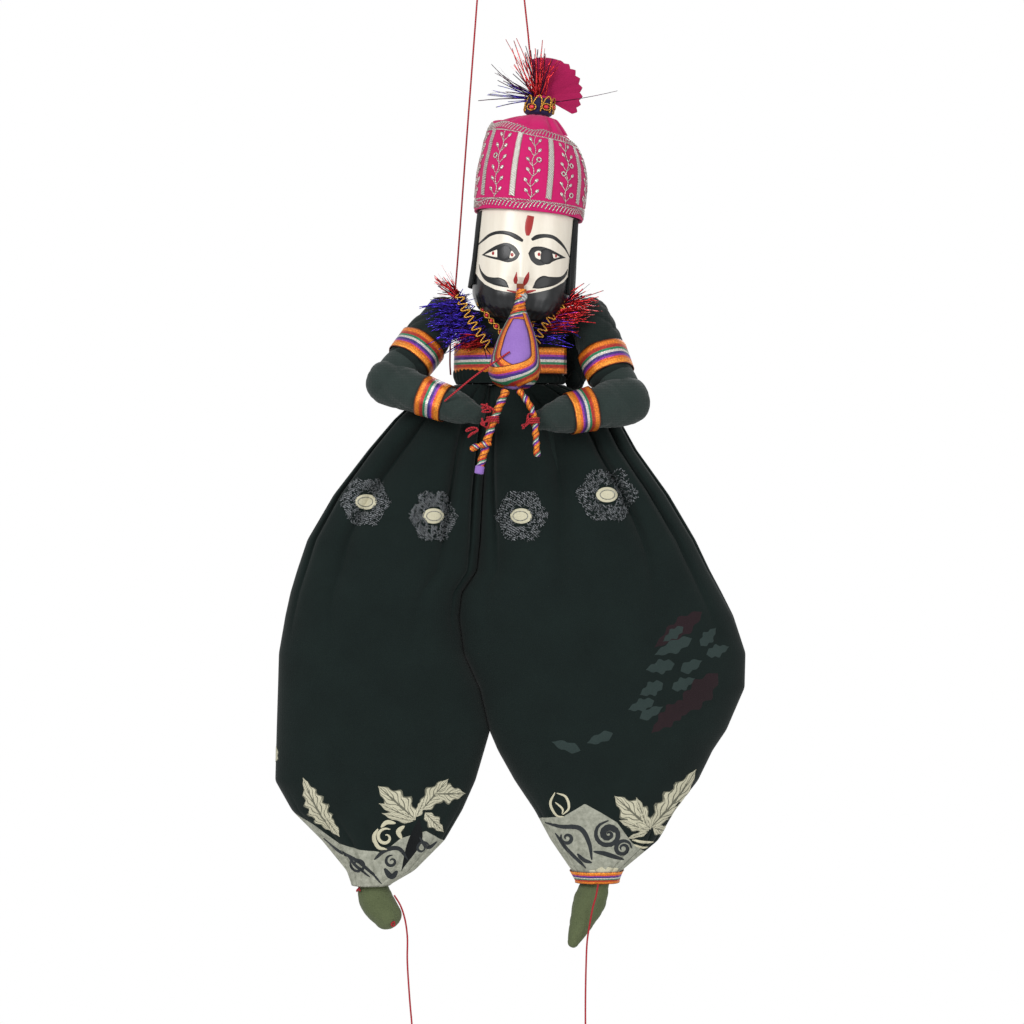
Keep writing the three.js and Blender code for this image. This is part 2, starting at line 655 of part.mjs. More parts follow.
// The bag of each trouser leg from ankle to waist: height, outer X, inner X, half-depth. An inner X of null
// is the centre fold.
const TROUSER = {
  right: [
    [43, -109.5, -83.5, 13.5], [53, -113, -66, 15], [74, -130, -45, 21], [94.5, -150.5, -33, 26],
    [115, -162, -24, 30], [150, -161, null, 34], [179, -160, null, 35], [203, -159.4, null, 34],
    [229, -155, null, 33], [245, -151.5, null, 32], [260, -147, null, 31], [281, -140, null, 30],
    [312, -122, null, 27], [343, -98, null, 23], [364, -80, null, 20], [375, -68, null, 18],
    [384, -48, null, 16.5],
    [WAIST - GAP - 0.2, -37, null, 15.5],
  ],
  left: [
    [46, 74.5, 48, 12], [53, 77.3, 44, 14.5], [74, 102.8, 29.7, 21], [94.5, 113.9, 18.6, 26],
    [115, 129.7, 4.8, 30], [136, 140, -6.9, 32.5], [150, 149.5, null, 34], [179, 162, null, 35],
    [203, 162.5, null, 34], [229, 154, null, 33], [245, 146, null, 32], [260, 138, null, 31],
    [281, 128, null, 30], [312, 109.7, null, 27], [343, 87.6, null, 23], [364, 76, null, 20],
    [375, 64, null, 18], [384, 46, null, 16.5],
    [WAIST - GAP - 0.2, 37, null, 15.5],
  ],
};

function trouser(side) {
  const sign = side === 'left' ? 1 : -1;
  const wall = (inset) => TROUSER[side].map(([z, outer, innerX, depth], i, rows) => {
    const fold = innerX ?? readTable(FOLD, z)[0] + (sign * TROUSER_FOLD_GAP) / 2;
    const halfWidth = Math.abs(outer - fold) / 2 - inset;
    const drop = i === rows.length - 1 || i === 0 ? 0 : inset * 0.4;
    const height = z - (i > rows.length / 2 ? drop : -drop);
    return oval((outer + fold) / 2, 0, height, halfWidth, depth - inset, 2.35, 24);
  });
  return mesh(`trouser_${side}`, skin(wall(0), wall(CLOTH), true), cloth(COLOUR.green));
}

const FOOT = {
  right: [[...ANKLE.right, 8], [-92.5, 1.5, 32.5, 12.2], [-84.5, -3, 22, 10]],
  left: [[...ANKLE.left, 8.4], [55.5, 2, 32.4, 11.4], [50.4, -1, 20, 9.2], [43.5, -6, 4.2, 4.2]],
};

for (const side of ['right', 'left']) {
  const ankle = ANKLE[side];
  const legEnd = [ankle[0], ankle[1], ankle[2] + FOOT[side][0][3] + 2 * GAP];
  const knee = between([HIP_X[side], 0, HIP_Z], legEnd, 0.5);
  const leg = new Limb([
    [HIP_X[side], 0, HIP_Z, THIGH_RADIUS],
    [...between([HIP_X[side], 0, HIP_Z], legEnd, 0.25), THIGH_RADIUS + 1.5],
    [...knee, THIGH_RADIUS],
    [...legEnd, ANKLE_RADIUS],
  ]);
  figure.add(
    mesh(`leg_${side}`, leg.body(true, false, 8), cloth(COLOUR.footGreen)),
    trouser(side),
    mesh(`foot_${side}`, new Limb(FOOT[side]).body(true, true), cloth(COLOUR.footGreen)),
  );
}

function ankleBand() {
  const [[z, outer, inner, depth]] = TROUSER.left;
  const next = TROUSER.left[1];
  const half = (outer - inner) / 2;
  const nextHalf = (next[1] - next[2]) / 2;
  const wall = (out) => [
    oval((outer + inner) / 2, 0, z, half + out, depth + out, 2.35),
    oval((next[1] + next[2]) / 2, 0, next[0], nextHalf + out, next[3] + out, 2.35),
  ];
  return mesh('ankle_band_left', skin(wall(GAP + 0.1 + RIBBON), wall(GAP + 0.1), true), shiny(COLOUR.ribbon));
}
figure.add(ankleBand());

// ---- Strings ------------------------------------------------------------------------------------

const CORD_SIDES = 8;
// Routes of the strings, chosen by hand from the knot outwards.
const ROUTE = {
  head_string: [
    [20.6, -1, 587.5], [18.4, -1, 597], [14.5, -0.5, 612], [12.3, 0, 632], [9.9, 0, 654], [9.5, 0, 658],
  ],
  back_string: [
    [-41.5, 26, 396], [-42, 27, 405], [-41, 26, 430], [-38, 22, 458], [-30.3, 14, 557], [-22.8, 8, 654],
    [-22.5, 8, 658],
  ],
  foot_string_right: [
    [-79.8, -2.5, 36], [-75.4, -4, 29], [-72.4, -4.5, 20], [-70.7, -4.5, 8], [-70.7, -4, -9],
    [-69, -3.5, -36.6], [-67.6, -3, -53], [-67.4, -3, -58],
  ],
  foot_string_left: [
    [60.4, -14.4, 45], [59, -13.9, 37], [56.8, -13.2, 29], [54.8, -12.6, 18], [53, -12, 6],
    [52.2, -11.5, -12], [51.8, -11, -36], [51.8, -11, -53], [51.8, -11, -58],
  ],
};
// Steps of about three string diameters, but no more than eighty.
const STRING_STEPS = { head_string: 20, back_string: 74, foot_string_right: 28, foot_string_left: 30 };

for (const [name, route] of Object.entries(ROUTE)) {
  figure.add(mesh(name, tube(route, STRING / 2, CORD_SIDES, STRING_STEPS[name]), cloth(COLOUR.string)));
}

// A finger loop and its knot on the end of each upper string. Returns the loop's middle.
function fingerLoop(name, route) {
  const [x, y, z] = route.at(-1);
  const knot = new THREE.SphereGeometry(KNOT_RADIUS, 10, 6);
  knot.translate(x, y, z + GAP + KNOT_RADIUS);
  const loop = new THREE.TorusGeometry(LOOP_RADIUS, STRING / 2, 6, 20);
  loop.rotateX(Math.PI / 2);
  loop.scale(1, 1, LOOP_STRETCH);
  const middle = z + 2 * GAP + 2 * KNOT_RADIUS + (LOOP_RADIUS + STRING / 2) * LOOP_STRETCH;
  loop.translate(x, y, middle);
  figure.add(mesh(`${name}_knot`, knot, cloth(COLOUR.string)));
  figure.add(mesh(`${name}_loop`, loop, cloth(COLOUR.string)));
  return new THREE.Vector3(x, y, middle);
}

// The spare length of a foot string, wound into a small neat coil that hangs on its end.
function footCoil(side) {
  const [x, y, z] = ROUTE[`foot_string_${side}`].at(-1);
  const half = COIL_THICKNESS / 2;
  const outline = [[-half, -half], [half, -half], [half, half], [-half, half], [-half, -half]];
  const points = outline.map(([across, along]) => new THREE.Vector2(COIL_MIDDLE + across, along));
  const piece = mesh(`foot_coil_${side}`, new THREE.LatheGeometry(points, 28), cloth(COLOUR.string));
  piece.position.set(x, y, z - GAP - COIL_MIDDLE - half);
  return piece;
}

const holdMiddle = fingerLoop('head', ROUTE.head_string);
fingerLoop('back', ROUTE.back_string);
figure.add(footCoil('right'), footCoil('left'));

// ---- Origin -------------------------------------------------------------------------------------

const hold = holdMiddle.clone();
hold.z += (LOOP_RADIUS - STRING / 2) * LOOP_STRETCH;
figure.position.copy(hold).negate();

const puppet = new THREE.Group();
puppet.add(figure);
puppet.updateMatrixWorld(true);

export default puppet;
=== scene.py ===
"""The looks of a Rajasthani string puppet: a turbaned snake charmer who plays a gourd pipe, in wide gathered
trousers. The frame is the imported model's: metres, +Z up, the front looks along -Y, and the origin is the
inside top of the head string's finger loop. Tables of places are in the figure's own millimetres, with
heights measured from the tip of the lower foot, as the model's source has them."""

import math

import bpy
import numpy as np
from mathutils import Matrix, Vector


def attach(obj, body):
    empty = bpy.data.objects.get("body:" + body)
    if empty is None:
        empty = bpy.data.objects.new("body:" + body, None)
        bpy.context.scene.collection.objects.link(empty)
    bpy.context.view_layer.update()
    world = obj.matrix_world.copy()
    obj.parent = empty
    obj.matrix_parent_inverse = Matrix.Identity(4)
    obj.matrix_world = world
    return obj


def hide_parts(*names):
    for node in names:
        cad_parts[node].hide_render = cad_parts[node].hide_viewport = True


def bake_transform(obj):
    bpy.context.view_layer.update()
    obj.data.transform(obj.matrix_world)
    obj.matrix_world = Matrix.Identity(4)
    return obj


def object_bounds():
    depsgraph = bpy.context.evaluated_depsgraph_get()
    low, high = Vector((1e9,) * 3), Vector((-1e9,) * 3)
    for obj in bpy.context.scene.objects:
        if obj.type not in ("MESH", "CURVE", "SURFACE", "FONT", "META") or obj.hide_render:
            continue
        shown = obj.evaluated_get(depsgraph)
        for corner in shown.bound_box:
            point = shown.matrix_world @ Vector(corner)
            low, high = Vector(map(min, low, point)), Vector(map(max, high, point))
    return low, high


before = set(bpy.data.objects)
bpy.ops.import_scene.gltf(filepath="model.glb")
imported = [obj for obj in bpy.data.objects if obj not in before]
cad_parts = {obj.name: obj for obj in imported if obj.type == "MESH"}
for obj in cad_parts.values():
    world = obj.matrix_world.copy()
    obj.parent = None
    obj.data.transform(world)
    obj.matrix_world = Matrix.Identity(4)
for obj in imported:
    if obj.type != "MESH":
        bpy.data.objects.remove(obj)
CAD_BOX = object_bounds()

MM = 0.001
HOLD = np.array([9.5, 0.0, 687.2])  # the finger loop's inside top, in the figure's millimetres
TURN = 2 * math.pi
SIDES = ("right", "left")  # the puppet's own
DICE = np.random.default_rng(24)

STRING = 1.2  # diameter of the red control strings

# ---- Camera, light and floor --------------------------------------------------------------------

CAMERA_AIM = (-0.0081, -0.3871)  # X and Z that the camera looks at, square on
CAMERA_DISTANCE = 1.963
FLOOR_DROP = 0.10  # below the lowest coil of string


def make_camera():
    camera = bpy.data.objects.new("camera", bpy.data.cameras.new("camera"))
    camera.data.lens = 100
    camera.data.sensor_width = 36
    camera.location = (CAMERA_AIM[0], -CAMERA_DISTANCE, CAMERA_AIM[1])
    camera.rotation_euler = (math.pi / 2, 0, 0)
    bpy.context.scene.collection.objects.link(camera)
    bpy.context.scene.camera = camera


def make_lamp(name, place, aim, size, power):
    lamp = bpy.data.lights.new(name, "AREA")
    lamp.shape = "DISK"
    lamp.size = size
    lamp.energy = power
    holder = bpy.data.objects.new(name, lamp)
    holder.location = place
    direction = np.array(aim, float) - np.array(place, float)
    holder.rotation_euler = (
        math.atan2(math.hypot(direction[0], direction[1]), -direction[2]),
        0,
        math.atan2(-direction[0], direction[1]),
    )
    bpy.context.scene.collection.objects.link(holder)


make_camera()

# ---- Nodes and colours --------------------------------------------------------------------------


def linear(colour):
    """An sRGB colour written as '#rrggbb', as the linear RGBA that a node takes."""
    parts = [int(colour[i:i + 2], 16) / 255 for i in (1, 3, 5)]
    return (*(c / 12.92 if c <= 0.04045 else ((c + 0.055) / 1.055) ** 2.4 for c in parts), 1)


def add(tree, kind, settings=(), **inputs):
    """Adds a node, gives it its own settings, and fills each named input with a value or another node's
    output. A name such as i1 is the input's number. Stops set a colour ramp."""
    made = tree.nodes.new(kind)
    for key, value in dict(settings).items():
        if key != "stops":
            setattr(made, key, value)
            continue
        ramp = made.color_ramp.elements
        while len(ramp) < len(value):
            ramp.new(0.5)
        for stop, (place, colour) in zip(ramp, value):
            stop.position = place
            stop.color = linear(colour)
    for key, value in inputs.items():
        numbered = key[0] == "i" and key[1:].isdigit()
        socket = made.inputs[int(key[1:])] if numbered else made.inputs[key.replace("_", " ")]
        if isinstance(value, bpy.types.NodeSocket):
            tree.links.new(value, socket)
        else:
            socket.default_value = value
    return made


def begin(name):
    """A new material: its node tree, its Principled shader, and where its patterns are read from."""
    material = bpy.data.materials.new(name)
    material.use_nodes = True
    tree = material.node_tree
    shader = tree.nodes["Principled BSDF"]
    return material, tree, shader, tree.nodes.new("ShaderNodeTexCoord")


WAVE_PERIOD = math.pi / 10  # a wave texture's bands repeat this far apart at scale 1


def cotton(name, shade, light, thread=1.4, relief=0.35, rough=0.9, sheen=0.1, nap=900):
    """Plain-woven cotton: two sets of threads at right angles, uneven dye between two shades, and a fine
    matt nap. Real threads lie 0.4 mm apart, and here as far apart as they need to show."""
    material, tree, shader, place = begin(name)
    blotch = add(tree, "ShaderNodeTexNoise", Vector=place.outputs["Object"], Scale=38, Detail=4,
        Roughness=0.6)
    fuzz = add(tree, "ShaderNodeTexNoise", Vector=place.outputs["Object"], Scale=nap, Detail=3,
        Roughness=0.7)
    waves = []
    for direction in ("X", "Z"):
        settings = {"bands_direction": direction}
        waves.append(add(tree, "ShaderNodeTexWave", settings, Vector=place.outputs["Object"],
                         Scale=WAVE_PERIOD / (thread * MM), Distortion=1.2, Detail=1, Detail_Scale=2))
    weave = add(tree, "ShaderNodeMath", {"operation": "MULTIPLY"},
                i0=waves[0].outputs["Fac"], i1=waves[1].outputs["Fac"])
    height = add(tree, "ShaderNodeMath", {"operation": "ADD"}, i0=weave.outputs[0], i1=fuzz.outputs["Fac"])
    tone = add(tree, "ShaderNodeMath", {"operation": "MULTIPLY_ADD"},
               i0=fuzz.outputs["Fac"], i1=0.55, i2=0.0)
    share = add(tree, "ShaderNodeMath", {"operation": "MULTIPLY_ADD", "use_clamp": True},
                i0=blotch.outputs["Fac"], i1=0.8, i2=tone.outputs[0])
    share = add(tree, "ShaderNodeMath", {"operation": "SUBTRACT", "use_clamp": True}, i0=share.outputs[0],
        i1=0.2)
    mix = add(tree, "ShaderNodeMix", {"data_type": "RGBA"}, i0=share.outputs[0], i6=linear(shade),
        i7=linear(light))
    bump = add(tree, "ShaderNodeBump", Strength=relief, Distance=0.4 * MM, Height=height.outputs[0])
    tree.links.new(mix.outputs[2], shader.inputs["Base Color"])
    tree.links.new(bump.outputs[0], shader.inputs["Normal"])
    shader.inputs["Roughness"].default_value = rough
    shader.inputs["Sheen Weight"].default_value = sheen
    shader.inputs["Sheen Roughness"].default_value = 0.5
    shader.inputs["Specular IOR Level"].default_value = 0.12
    return material


def enamel(name, colour, worn, rough=0.28, grain=55):
    """Brushed enamel paint on carved wood: a glossy coat with soft brush streaks and slight ripples."""
    material, tree, shader, place = begin(name)
    stretch = add(tree, "ShaderNodeMapping", Vector=place.outputs["Object"], Scale=(1, 1, 0.18))
    streak = add(tree, "ShaderNodeTexNoise", Vector=stretch.outputs[0], Scale=grain * 5, Detail=5,
        Roughness=0.6)
    ripple = add(tree, "ShaderNodeTexNoise", Vector=place.outputs["Object"], Scale=grain, Detail=2)
    mix = add(tree, "ShaderNodeMix", {"data_type": "RGBA"},
              i0=streak.outputs["Fac"], i6=linear(colour), i7=linear(worn))
    bump = add(tree, "ShaderNodeBump", Strength=0.25, Distance=1.2 * MM, Height=ripple.outputs["Fac"])
    tree.links.new(mix.outputs[2], shader.inputs["Base Color"])
    tree.links.new(bump.outputs[0], shader.inputs["Normal"])
    shader.inputs["Roughness"].default_value = rough
    shader.inputs["Specular IOR Level"].default_value = 0.28
    shader.inputs["Coat Weight"].default_value = 0.1
    shader.inputs["Coat Roughness"].default_value = 0.18
    return material, tree, mix


def painted_wood():
    """The head: cream enamel on the face and black enamel on hair and beard, divided where the mesh's own
    measure of distance inside the face, in millimetres, passes nought."""
    material, tree, cream = enamel("cream_enamel_on_mango_wood", "#e2dccf", "#cdc4b4")
    shader = tree.nodes["Principled BSDF"]
    inside = add(tree, "ShaderNodeAttribute", {"attribute_name": "face"})
    is_face = add(tree, "ShaderNodeMath", {"operation": "GREATER_THAN"}, i0=inside.outputs["Fac"], i1=0.0)
    place = tree.nodes["Texture Coordinate"]
    rub = add(tree, "ShaderNodeTexNoise", Vector=place.outputs["Object"], Scale=120, Detail=4)
    black = add(tree, "ShaderNodeValToRGB", {"stops": [(0.35, "#0c0d0f"), (0.62, "#1b1d1f"),
        (0.8, "#2c2f31")]},
                Fac=rub.outputs["Fac"])
    both = add(tree, "ShaderNodeMix", {"data_type": "RGBA"},
               i0=is_face.outputs[0], i6=black.outputs["Color"], i7=cream.outputs[2])
    tree.links.new(both.outputs[2], shader.inputs["Base Color"])
    return material


def metal_thread(name, colour, dark, rough=0.38, twist=0.9):
    """Metallised embroidery thread: a bright metal strip wound on a core, so its shine breaks up in turns.
    Its colour is painted dark in the grooves between the turns, where the bump dips: painted shade.
    """
    material, tree, shader, place = begin(name)
    turns = add(tree, "ShaderNodeTexWave", {"bands_direction": "DIAGONAL"}, Vector=place.outputs["Object"],
                Scale=WAVE_PERIOD / (twist * MM), Distortion=2.5, Detail=2)
    # painted shade: the dark colour falls in the grooves between turns, just as the bump does
    mix = add(tree, "ShaderNodeMix", {"data_type": "RGBA"},
              i0=turns.outputs["Fac"], i6=linear(dark), i7=linear(colour))
    bump = add(tree, "ShaderNodeBump", Strength=0.5, Distance=0.2 * MM, Height=turns.outputs["Fac"])
    tree.links.new(mix.outputs[2], shader.inputs["Base Color"])
    tree.links.new(bump.outputs[0], shader.inputs["Normal"])
    shader.inputs["Metallic"].default_value = 0.75
    shader.inputs["Roughness"].default_value = rough
    return material


def foil(name, colour, dark):
    """Cut metallised film: mirror-like narrow strands, with shade changing from strand to strand."""
    material, tree, shader, place = begin(name)
    blotch = add(tree, "ShaderNodeTexNoise", Vector=place.outputs["Object"], Scale=420, Detail=2)
    ramp = add(tree, "ShaderNodeValToRGB", {"stops": [(0.38, dark), (0.6, colour)]},
        Fac=blotch.outputs["Fac"])
    tree.links.new(ramp.outputs["Color"], shader.inputs["Base Color"])
    shader.inputs["Metallic"].default_value = 0.85
    shader.inputs["Roughness"].default_value = 0.22
    return material


RIBBON_STRIPES = [  # share of the width where each stripe starts, and its colour
    (0.0, "#7a3110"), (0.035, "#e07a1c"), (0.2, "#b8451a"), (0.25, "#a8261f"), (0.34, "#1e7a55"),
    (0.43, "#c9c4bd"), (0.53, "#3b2a78"), (0.63, "#8a2a96"), (0.7, "#d8641c"), (0.79, "#e58a24"),
    (0.965, "#7a3110"),
]


def metallic_ribbon():
    """Woven trimming ribbon: bright weft stripes along its length in metallised film, over a dark warp, with
    ribs across it, and painted glints: flecks where the stripes' colour is brightened and dulled. The UV
    map's U is the share of the width and V is millimetres of length."""
    material, tree, shader, place = begin("metallised_woven_ribbon")
    split = add(tree, "ShaderNodeSeparateXYZ", Vector=place.outputs["UV"])
    share = add(tree, "ShaderNodeMath", {"operation": "FRACT"}, i0=split.outputs["X"])
    stripes = add(tree, "ShaderNodeValToRGB", {"stops": RIBBON_STRIPES}, Fac=share.outputs[0])
    stripes.color_ramp.interpolation = "CONSTANT"
    ribs = add(tree, "ShaderNodeTexWave", {"bands_direction": "Y"}, Vector=place.outputs["UV"],
               Scale=WAVE_PERIOD / 0.9, Distortion=0.8, Detail=1)
    # painted glints: noise brightens and dulls the stripes' colour in flecks, as light catching the film
    # would
    stretch = add(tree, "ShaderNodeMapping", Vector=place.outputs["UV"], Scale=(14, 1.1, 1))
    painted_glint = add(tree, "ShaderNodeTexNoise", Vector=stretch.outputs[0], Scale=1.0, Detail=3, Roughness=0.7)
    tone = add(tree, "ShaderNodeMapRange", Value=painted_glint.outputs["Fac"], From_Min=0.35, From_Max=0.68,
               To_Min=0.45, To_Max=1.25)
    level = add(tree, "ShaderNodeMix", {"data_type": "RGBA", "blend_type": "MULTIPLY"},
                i0=1.0, i6=stripes.outputs["Color"], i7=tone.outputs[0])
    both = add(tree, "ShaderNodeMath", {"operation": "ADD"}, i0=ribs.outputs["Fac"],
        i1=painted_glint.outputs["Fac"])
    bump = add(tree, "ShaderNodeBump", Strength=0.5, Distance=0.3 * MM, Height=both.outputs[0])
    tree.links.new(level.outputs[2], shader.inputs["Base Color"])
    tree.links.new(bump.outputs[0], shader.inputs["Normal"])
    shader.inputs["Metallic"].default_value = 0.45
    shader.inputs["Roughness"].default_value = 0.36
    return material


def twisted_cotton():
    """Red cotton string of three twisted plies, painted a darker red in the grooves between plies, where the
    bump dips, as painted shade. The UV map's V runs along it in millimetres.
    """
    material, tree, shader, place = begin("twisted_cotton_string")
    slant = add(tree, "ShaderNodeMapping", Vector=place.outputs["UV"], Rotation=(0, 0, math.radians(35)))
    plies = add(tree, "ShaderNodeTexWave", {"bands_direction": "Y"}, Vector=slant.outputs[0],
                Scale=WAVE_PERIOD / 1.3, Distortion=0.6)
    # painted shade: the darker red falls in the grooves between plies, just as the bump does
    mix = add(tree, "ShaderNodeMix", {"data_type": "RGBA"},
              i0=plies.outputs["Fac"], i6=linear("#7d1a20"), i7=linear("#b5303a"))
    bump = add(tree, "ShaderNodeBump", Strength=0.6, Distance=0.3 * MM, Height=plies.outputs["Fac"])
    tree.links.new(mix.outputs[2], shader.inputs["Base Color"])
    tree.links.new(bump.outputs[0], shader.inputs["Normal"])
    shader.inputs["Roughness"].default_value = 0.85
    shader.inputs["Specular IOR Level"].default_value = 0.15
    shader.inputs["Sheen Weight"].default_value = 0.05
    return material


def voile():
    """The trousers' thin cotton voile: dark green, with the woven border's pale grey ground below the line
    where the mesh's own measure of depth into the hem, in millimetres, passes nought."""
    material = cotton("dark_green_cotton_voile", "#091110", "#141f1d", thread=1.6, relief=0.18, sheen=0.06)
    tree = material.node_tree
    shader = tree.nodes["Principled BSDF"]
    green = shader.inputs["Base Color"].links[0].from_socket
    place = tree.nodes["Texture Coordinate"]
    depth = add(tree, "ShaderNodeAttribute", {"attribute_name": "hem"})
    edge = add(tree, "ShaderNodeMath", {"operation": "GREATER_THAN"}, i0=depth.outputs["Fac"], i1=0.0)
    slub = add(tree, "ShaderNodeTexNoise", Vector=place.outputs["Object"], Scale=260, Detail=5,
        Roughness=0.7)
    border = add(tree, "ShaderNodeValToRGB", {"stops": [(0.3, "#77796d"), (0.7, "#a3a497")]},
                 Fac=slub.outputs["Fac"])
    both = add(tree, "ShaderNodeMix", {"data_type": "RGBA"},
               i0=edge.outputs[0], i6=green, i7=border.outputs["Color"])
    tree.links.new(both.outputs[2], shader.inputs["Base Color"])
    return material


def jacquard_leaf():
    """A woven cream leaf: the UV map's U crosses it and V runs from base to tip, both from 0 to 1. Dark veins
    slant up from the middle line, and a dark line follows the edge."""
    material = cotton("cream_jacquard_leaf", "#a3a08a", "#cfcbb4", thread=1.1, relief=0.5, nap=1100)
    tree = material.node_tree
    shader = tree.nodes["Principled BSDF"]
    cream = shader.inputs["Base Color"].links[0].from_socket
    split = add(tree, "ShaderNodeSeparateXYZ", Vector=tree.nodes["Texture Coordinate"].outputs["UV"])
    off = add(tree, "ShaderNodeMath", {"operation": "SUBTRACT"}, i0=split.outputs["X"], i1=0.5)
    side = add(tree, "ShaderNodeMath", {"operation": "ABSOLUTE"}, i0=off.outputs[0])
    slant = add(tree, "ShaderNodeMath", {"operation": "MULTIPLY_ADD"}, i0=side.outputs[0], i1=-0.7,
                i2=split.outputs["Y"])
    beat = add(tree, "ShaderNodeMath", {"operation": "MULTIPLY"}, i0=slant.outputs[0], i1=7.0)
    saw = add(tree, "ShaderNodeMath", {"operation": "FRACT"}, i0=beat.outputs[0])
    vein = add(tree, "ShaderNodeMath", {"operation": "LESS_THAN"}, i0=saw.outputs[0], i1=0.22)
    rib = add(tree, "ShaderNodeMath", {"operation": "LESS_THAN"}, i0=side.outputs[0], i1=0.045)
    edge = add(tree, "ShaderNodeMath", {"operation": "GREATER_THAN"}, i0=side.outputs[0], i1=0.43)
    dark = add(tree, "ShaderNodeMath", {"operation": "MAXIMUM"}, i0=vein.outputs[0], i1=rib.outputs[0])
    dark = add(tree, "ShaderNodeMath", {"operation": "MAXIMUM"}, i0=dark.outputs[0], i1=edge.outputs[0])
    share = add(tree, "ShaderNodeMath", {"operation": "MULTIPLY"}, i0=dark.outputs[0], i1=0.8)
    both = add(tree, "ShaderNodeMix", {"data_type": "RGBA"}, i0=share.outputs[0], i6=cream,
               i7=linear("#34382f"))
    tree.links.new(both.outputs[2], shader.inputs["Base Color"])
    return material


CLOTH = {
    "bodice": cotton("dark_green_cotton", "#0b1211", "#182120", nap=700),
    "arm": cotton("brushed_green_cotton", "#18211f", "#323d3a", thread=1.1, relief=0.6, nap=1100,
        sheen=0.15),
    "sleeve": cotton("green_sleeve_cotton", "#0e1614", "#1d2725", thread=1.3, nap=800),
    "foot": cotton("olive_cotton", "#3f472f", "#626b4c", thread=1.2, relief=0.5, nap=900),
    "hair": cotton("black_cotton", "#08090a", "#15191a", thread=1.2, nap=800, sheen=0.08),
    "pink": cotton("pink_cotton", "#a5104f", "#cf2470", thread=0.9, relief=0.3, rough=0.75, nap=1300),
    # the fan is the turban's pink cloth, painted darker: painted shade
    "fan": cotton("shaded_pink_cotton", "#85103f", "#ab1d55", thread=1.0, relief=0.25, rough=0.8, nap=1000),
    "purple": cotton("lilac_cotton", "#7a58a2", "#9a78c0", thread=1.2, relief=0.4, nap=800),
    "motif": cotton("cream_jacquard", "#a9a58c", "#d2cdb4", thread=1.1, relief=0.5, nap=1100),
    "ghost": cotton("backed_green_voile", "#202b2a", "#2f3b39", thread=1.6, relief=0.15),
    "maroon": cotton("backed_maroon_voile", "#1b1416", "#271a1e", thread=1.6, relief=0.15),
    "scroll": cotton("charcoal_jacquard", "#1c2023", "#35393b", thread=1.1, relief=0.5),
    "navy": cotton("navy_ribbon", "#14122c", "#2b2450", thread=1.0, relief=0.4, rough=0.6),
}
VOILE = voile()
LEAF = jacquard_leaf()
WOOD = painted_wood()
BLACK_ENAMEL = enamel("black_enamel", "#050607", "#101214", rough=0.4)[0]
RED_ENAMEL = enamel("red_enamel", "#851a1d", "#9c2a28", rough=0.38)[0]
WHITE_ENAMEL = enamel("white_enamel", "#ece6da", "#d8d0c2", rough=0.3)[0]
SILVER = metal_thread("silver_thread", "#d6d3cc", "#77736d")
DULL_SILVER = metal_thread("blackened_silver_thread", "#8c9093", "#24282a", rough=0.45)
GOLD = metal_thread("gold_thread", "#d9a441", "#6e4312")
FOIL = {
    "red": foil("red_foil", "#e23a3c", "#7c1016"),
    "blue": foil("violet_blue_foil", "#4a35c4", "#150f45"),
    "dark": foil("dark_foil", "#4a1f3a", "#150c16"),
}
RIBBON = metallic_ribbon()
COTTON_STRING = twisted_cotton()
STEEL = metal_thread("cut_steel", "#9da09f", "#6d706f", rough=0.42, twist=1.6)
GLASS = enamel("red_glass", "#b01820", "#e0434a", rough=0.12)[0]

# ---- Surfaces -----------------------------------------------------------------------------------


def place(points):
    """Figure millimetres to the frame's metres."""
    return (np.asarray(points, float) - HOLD) * MM


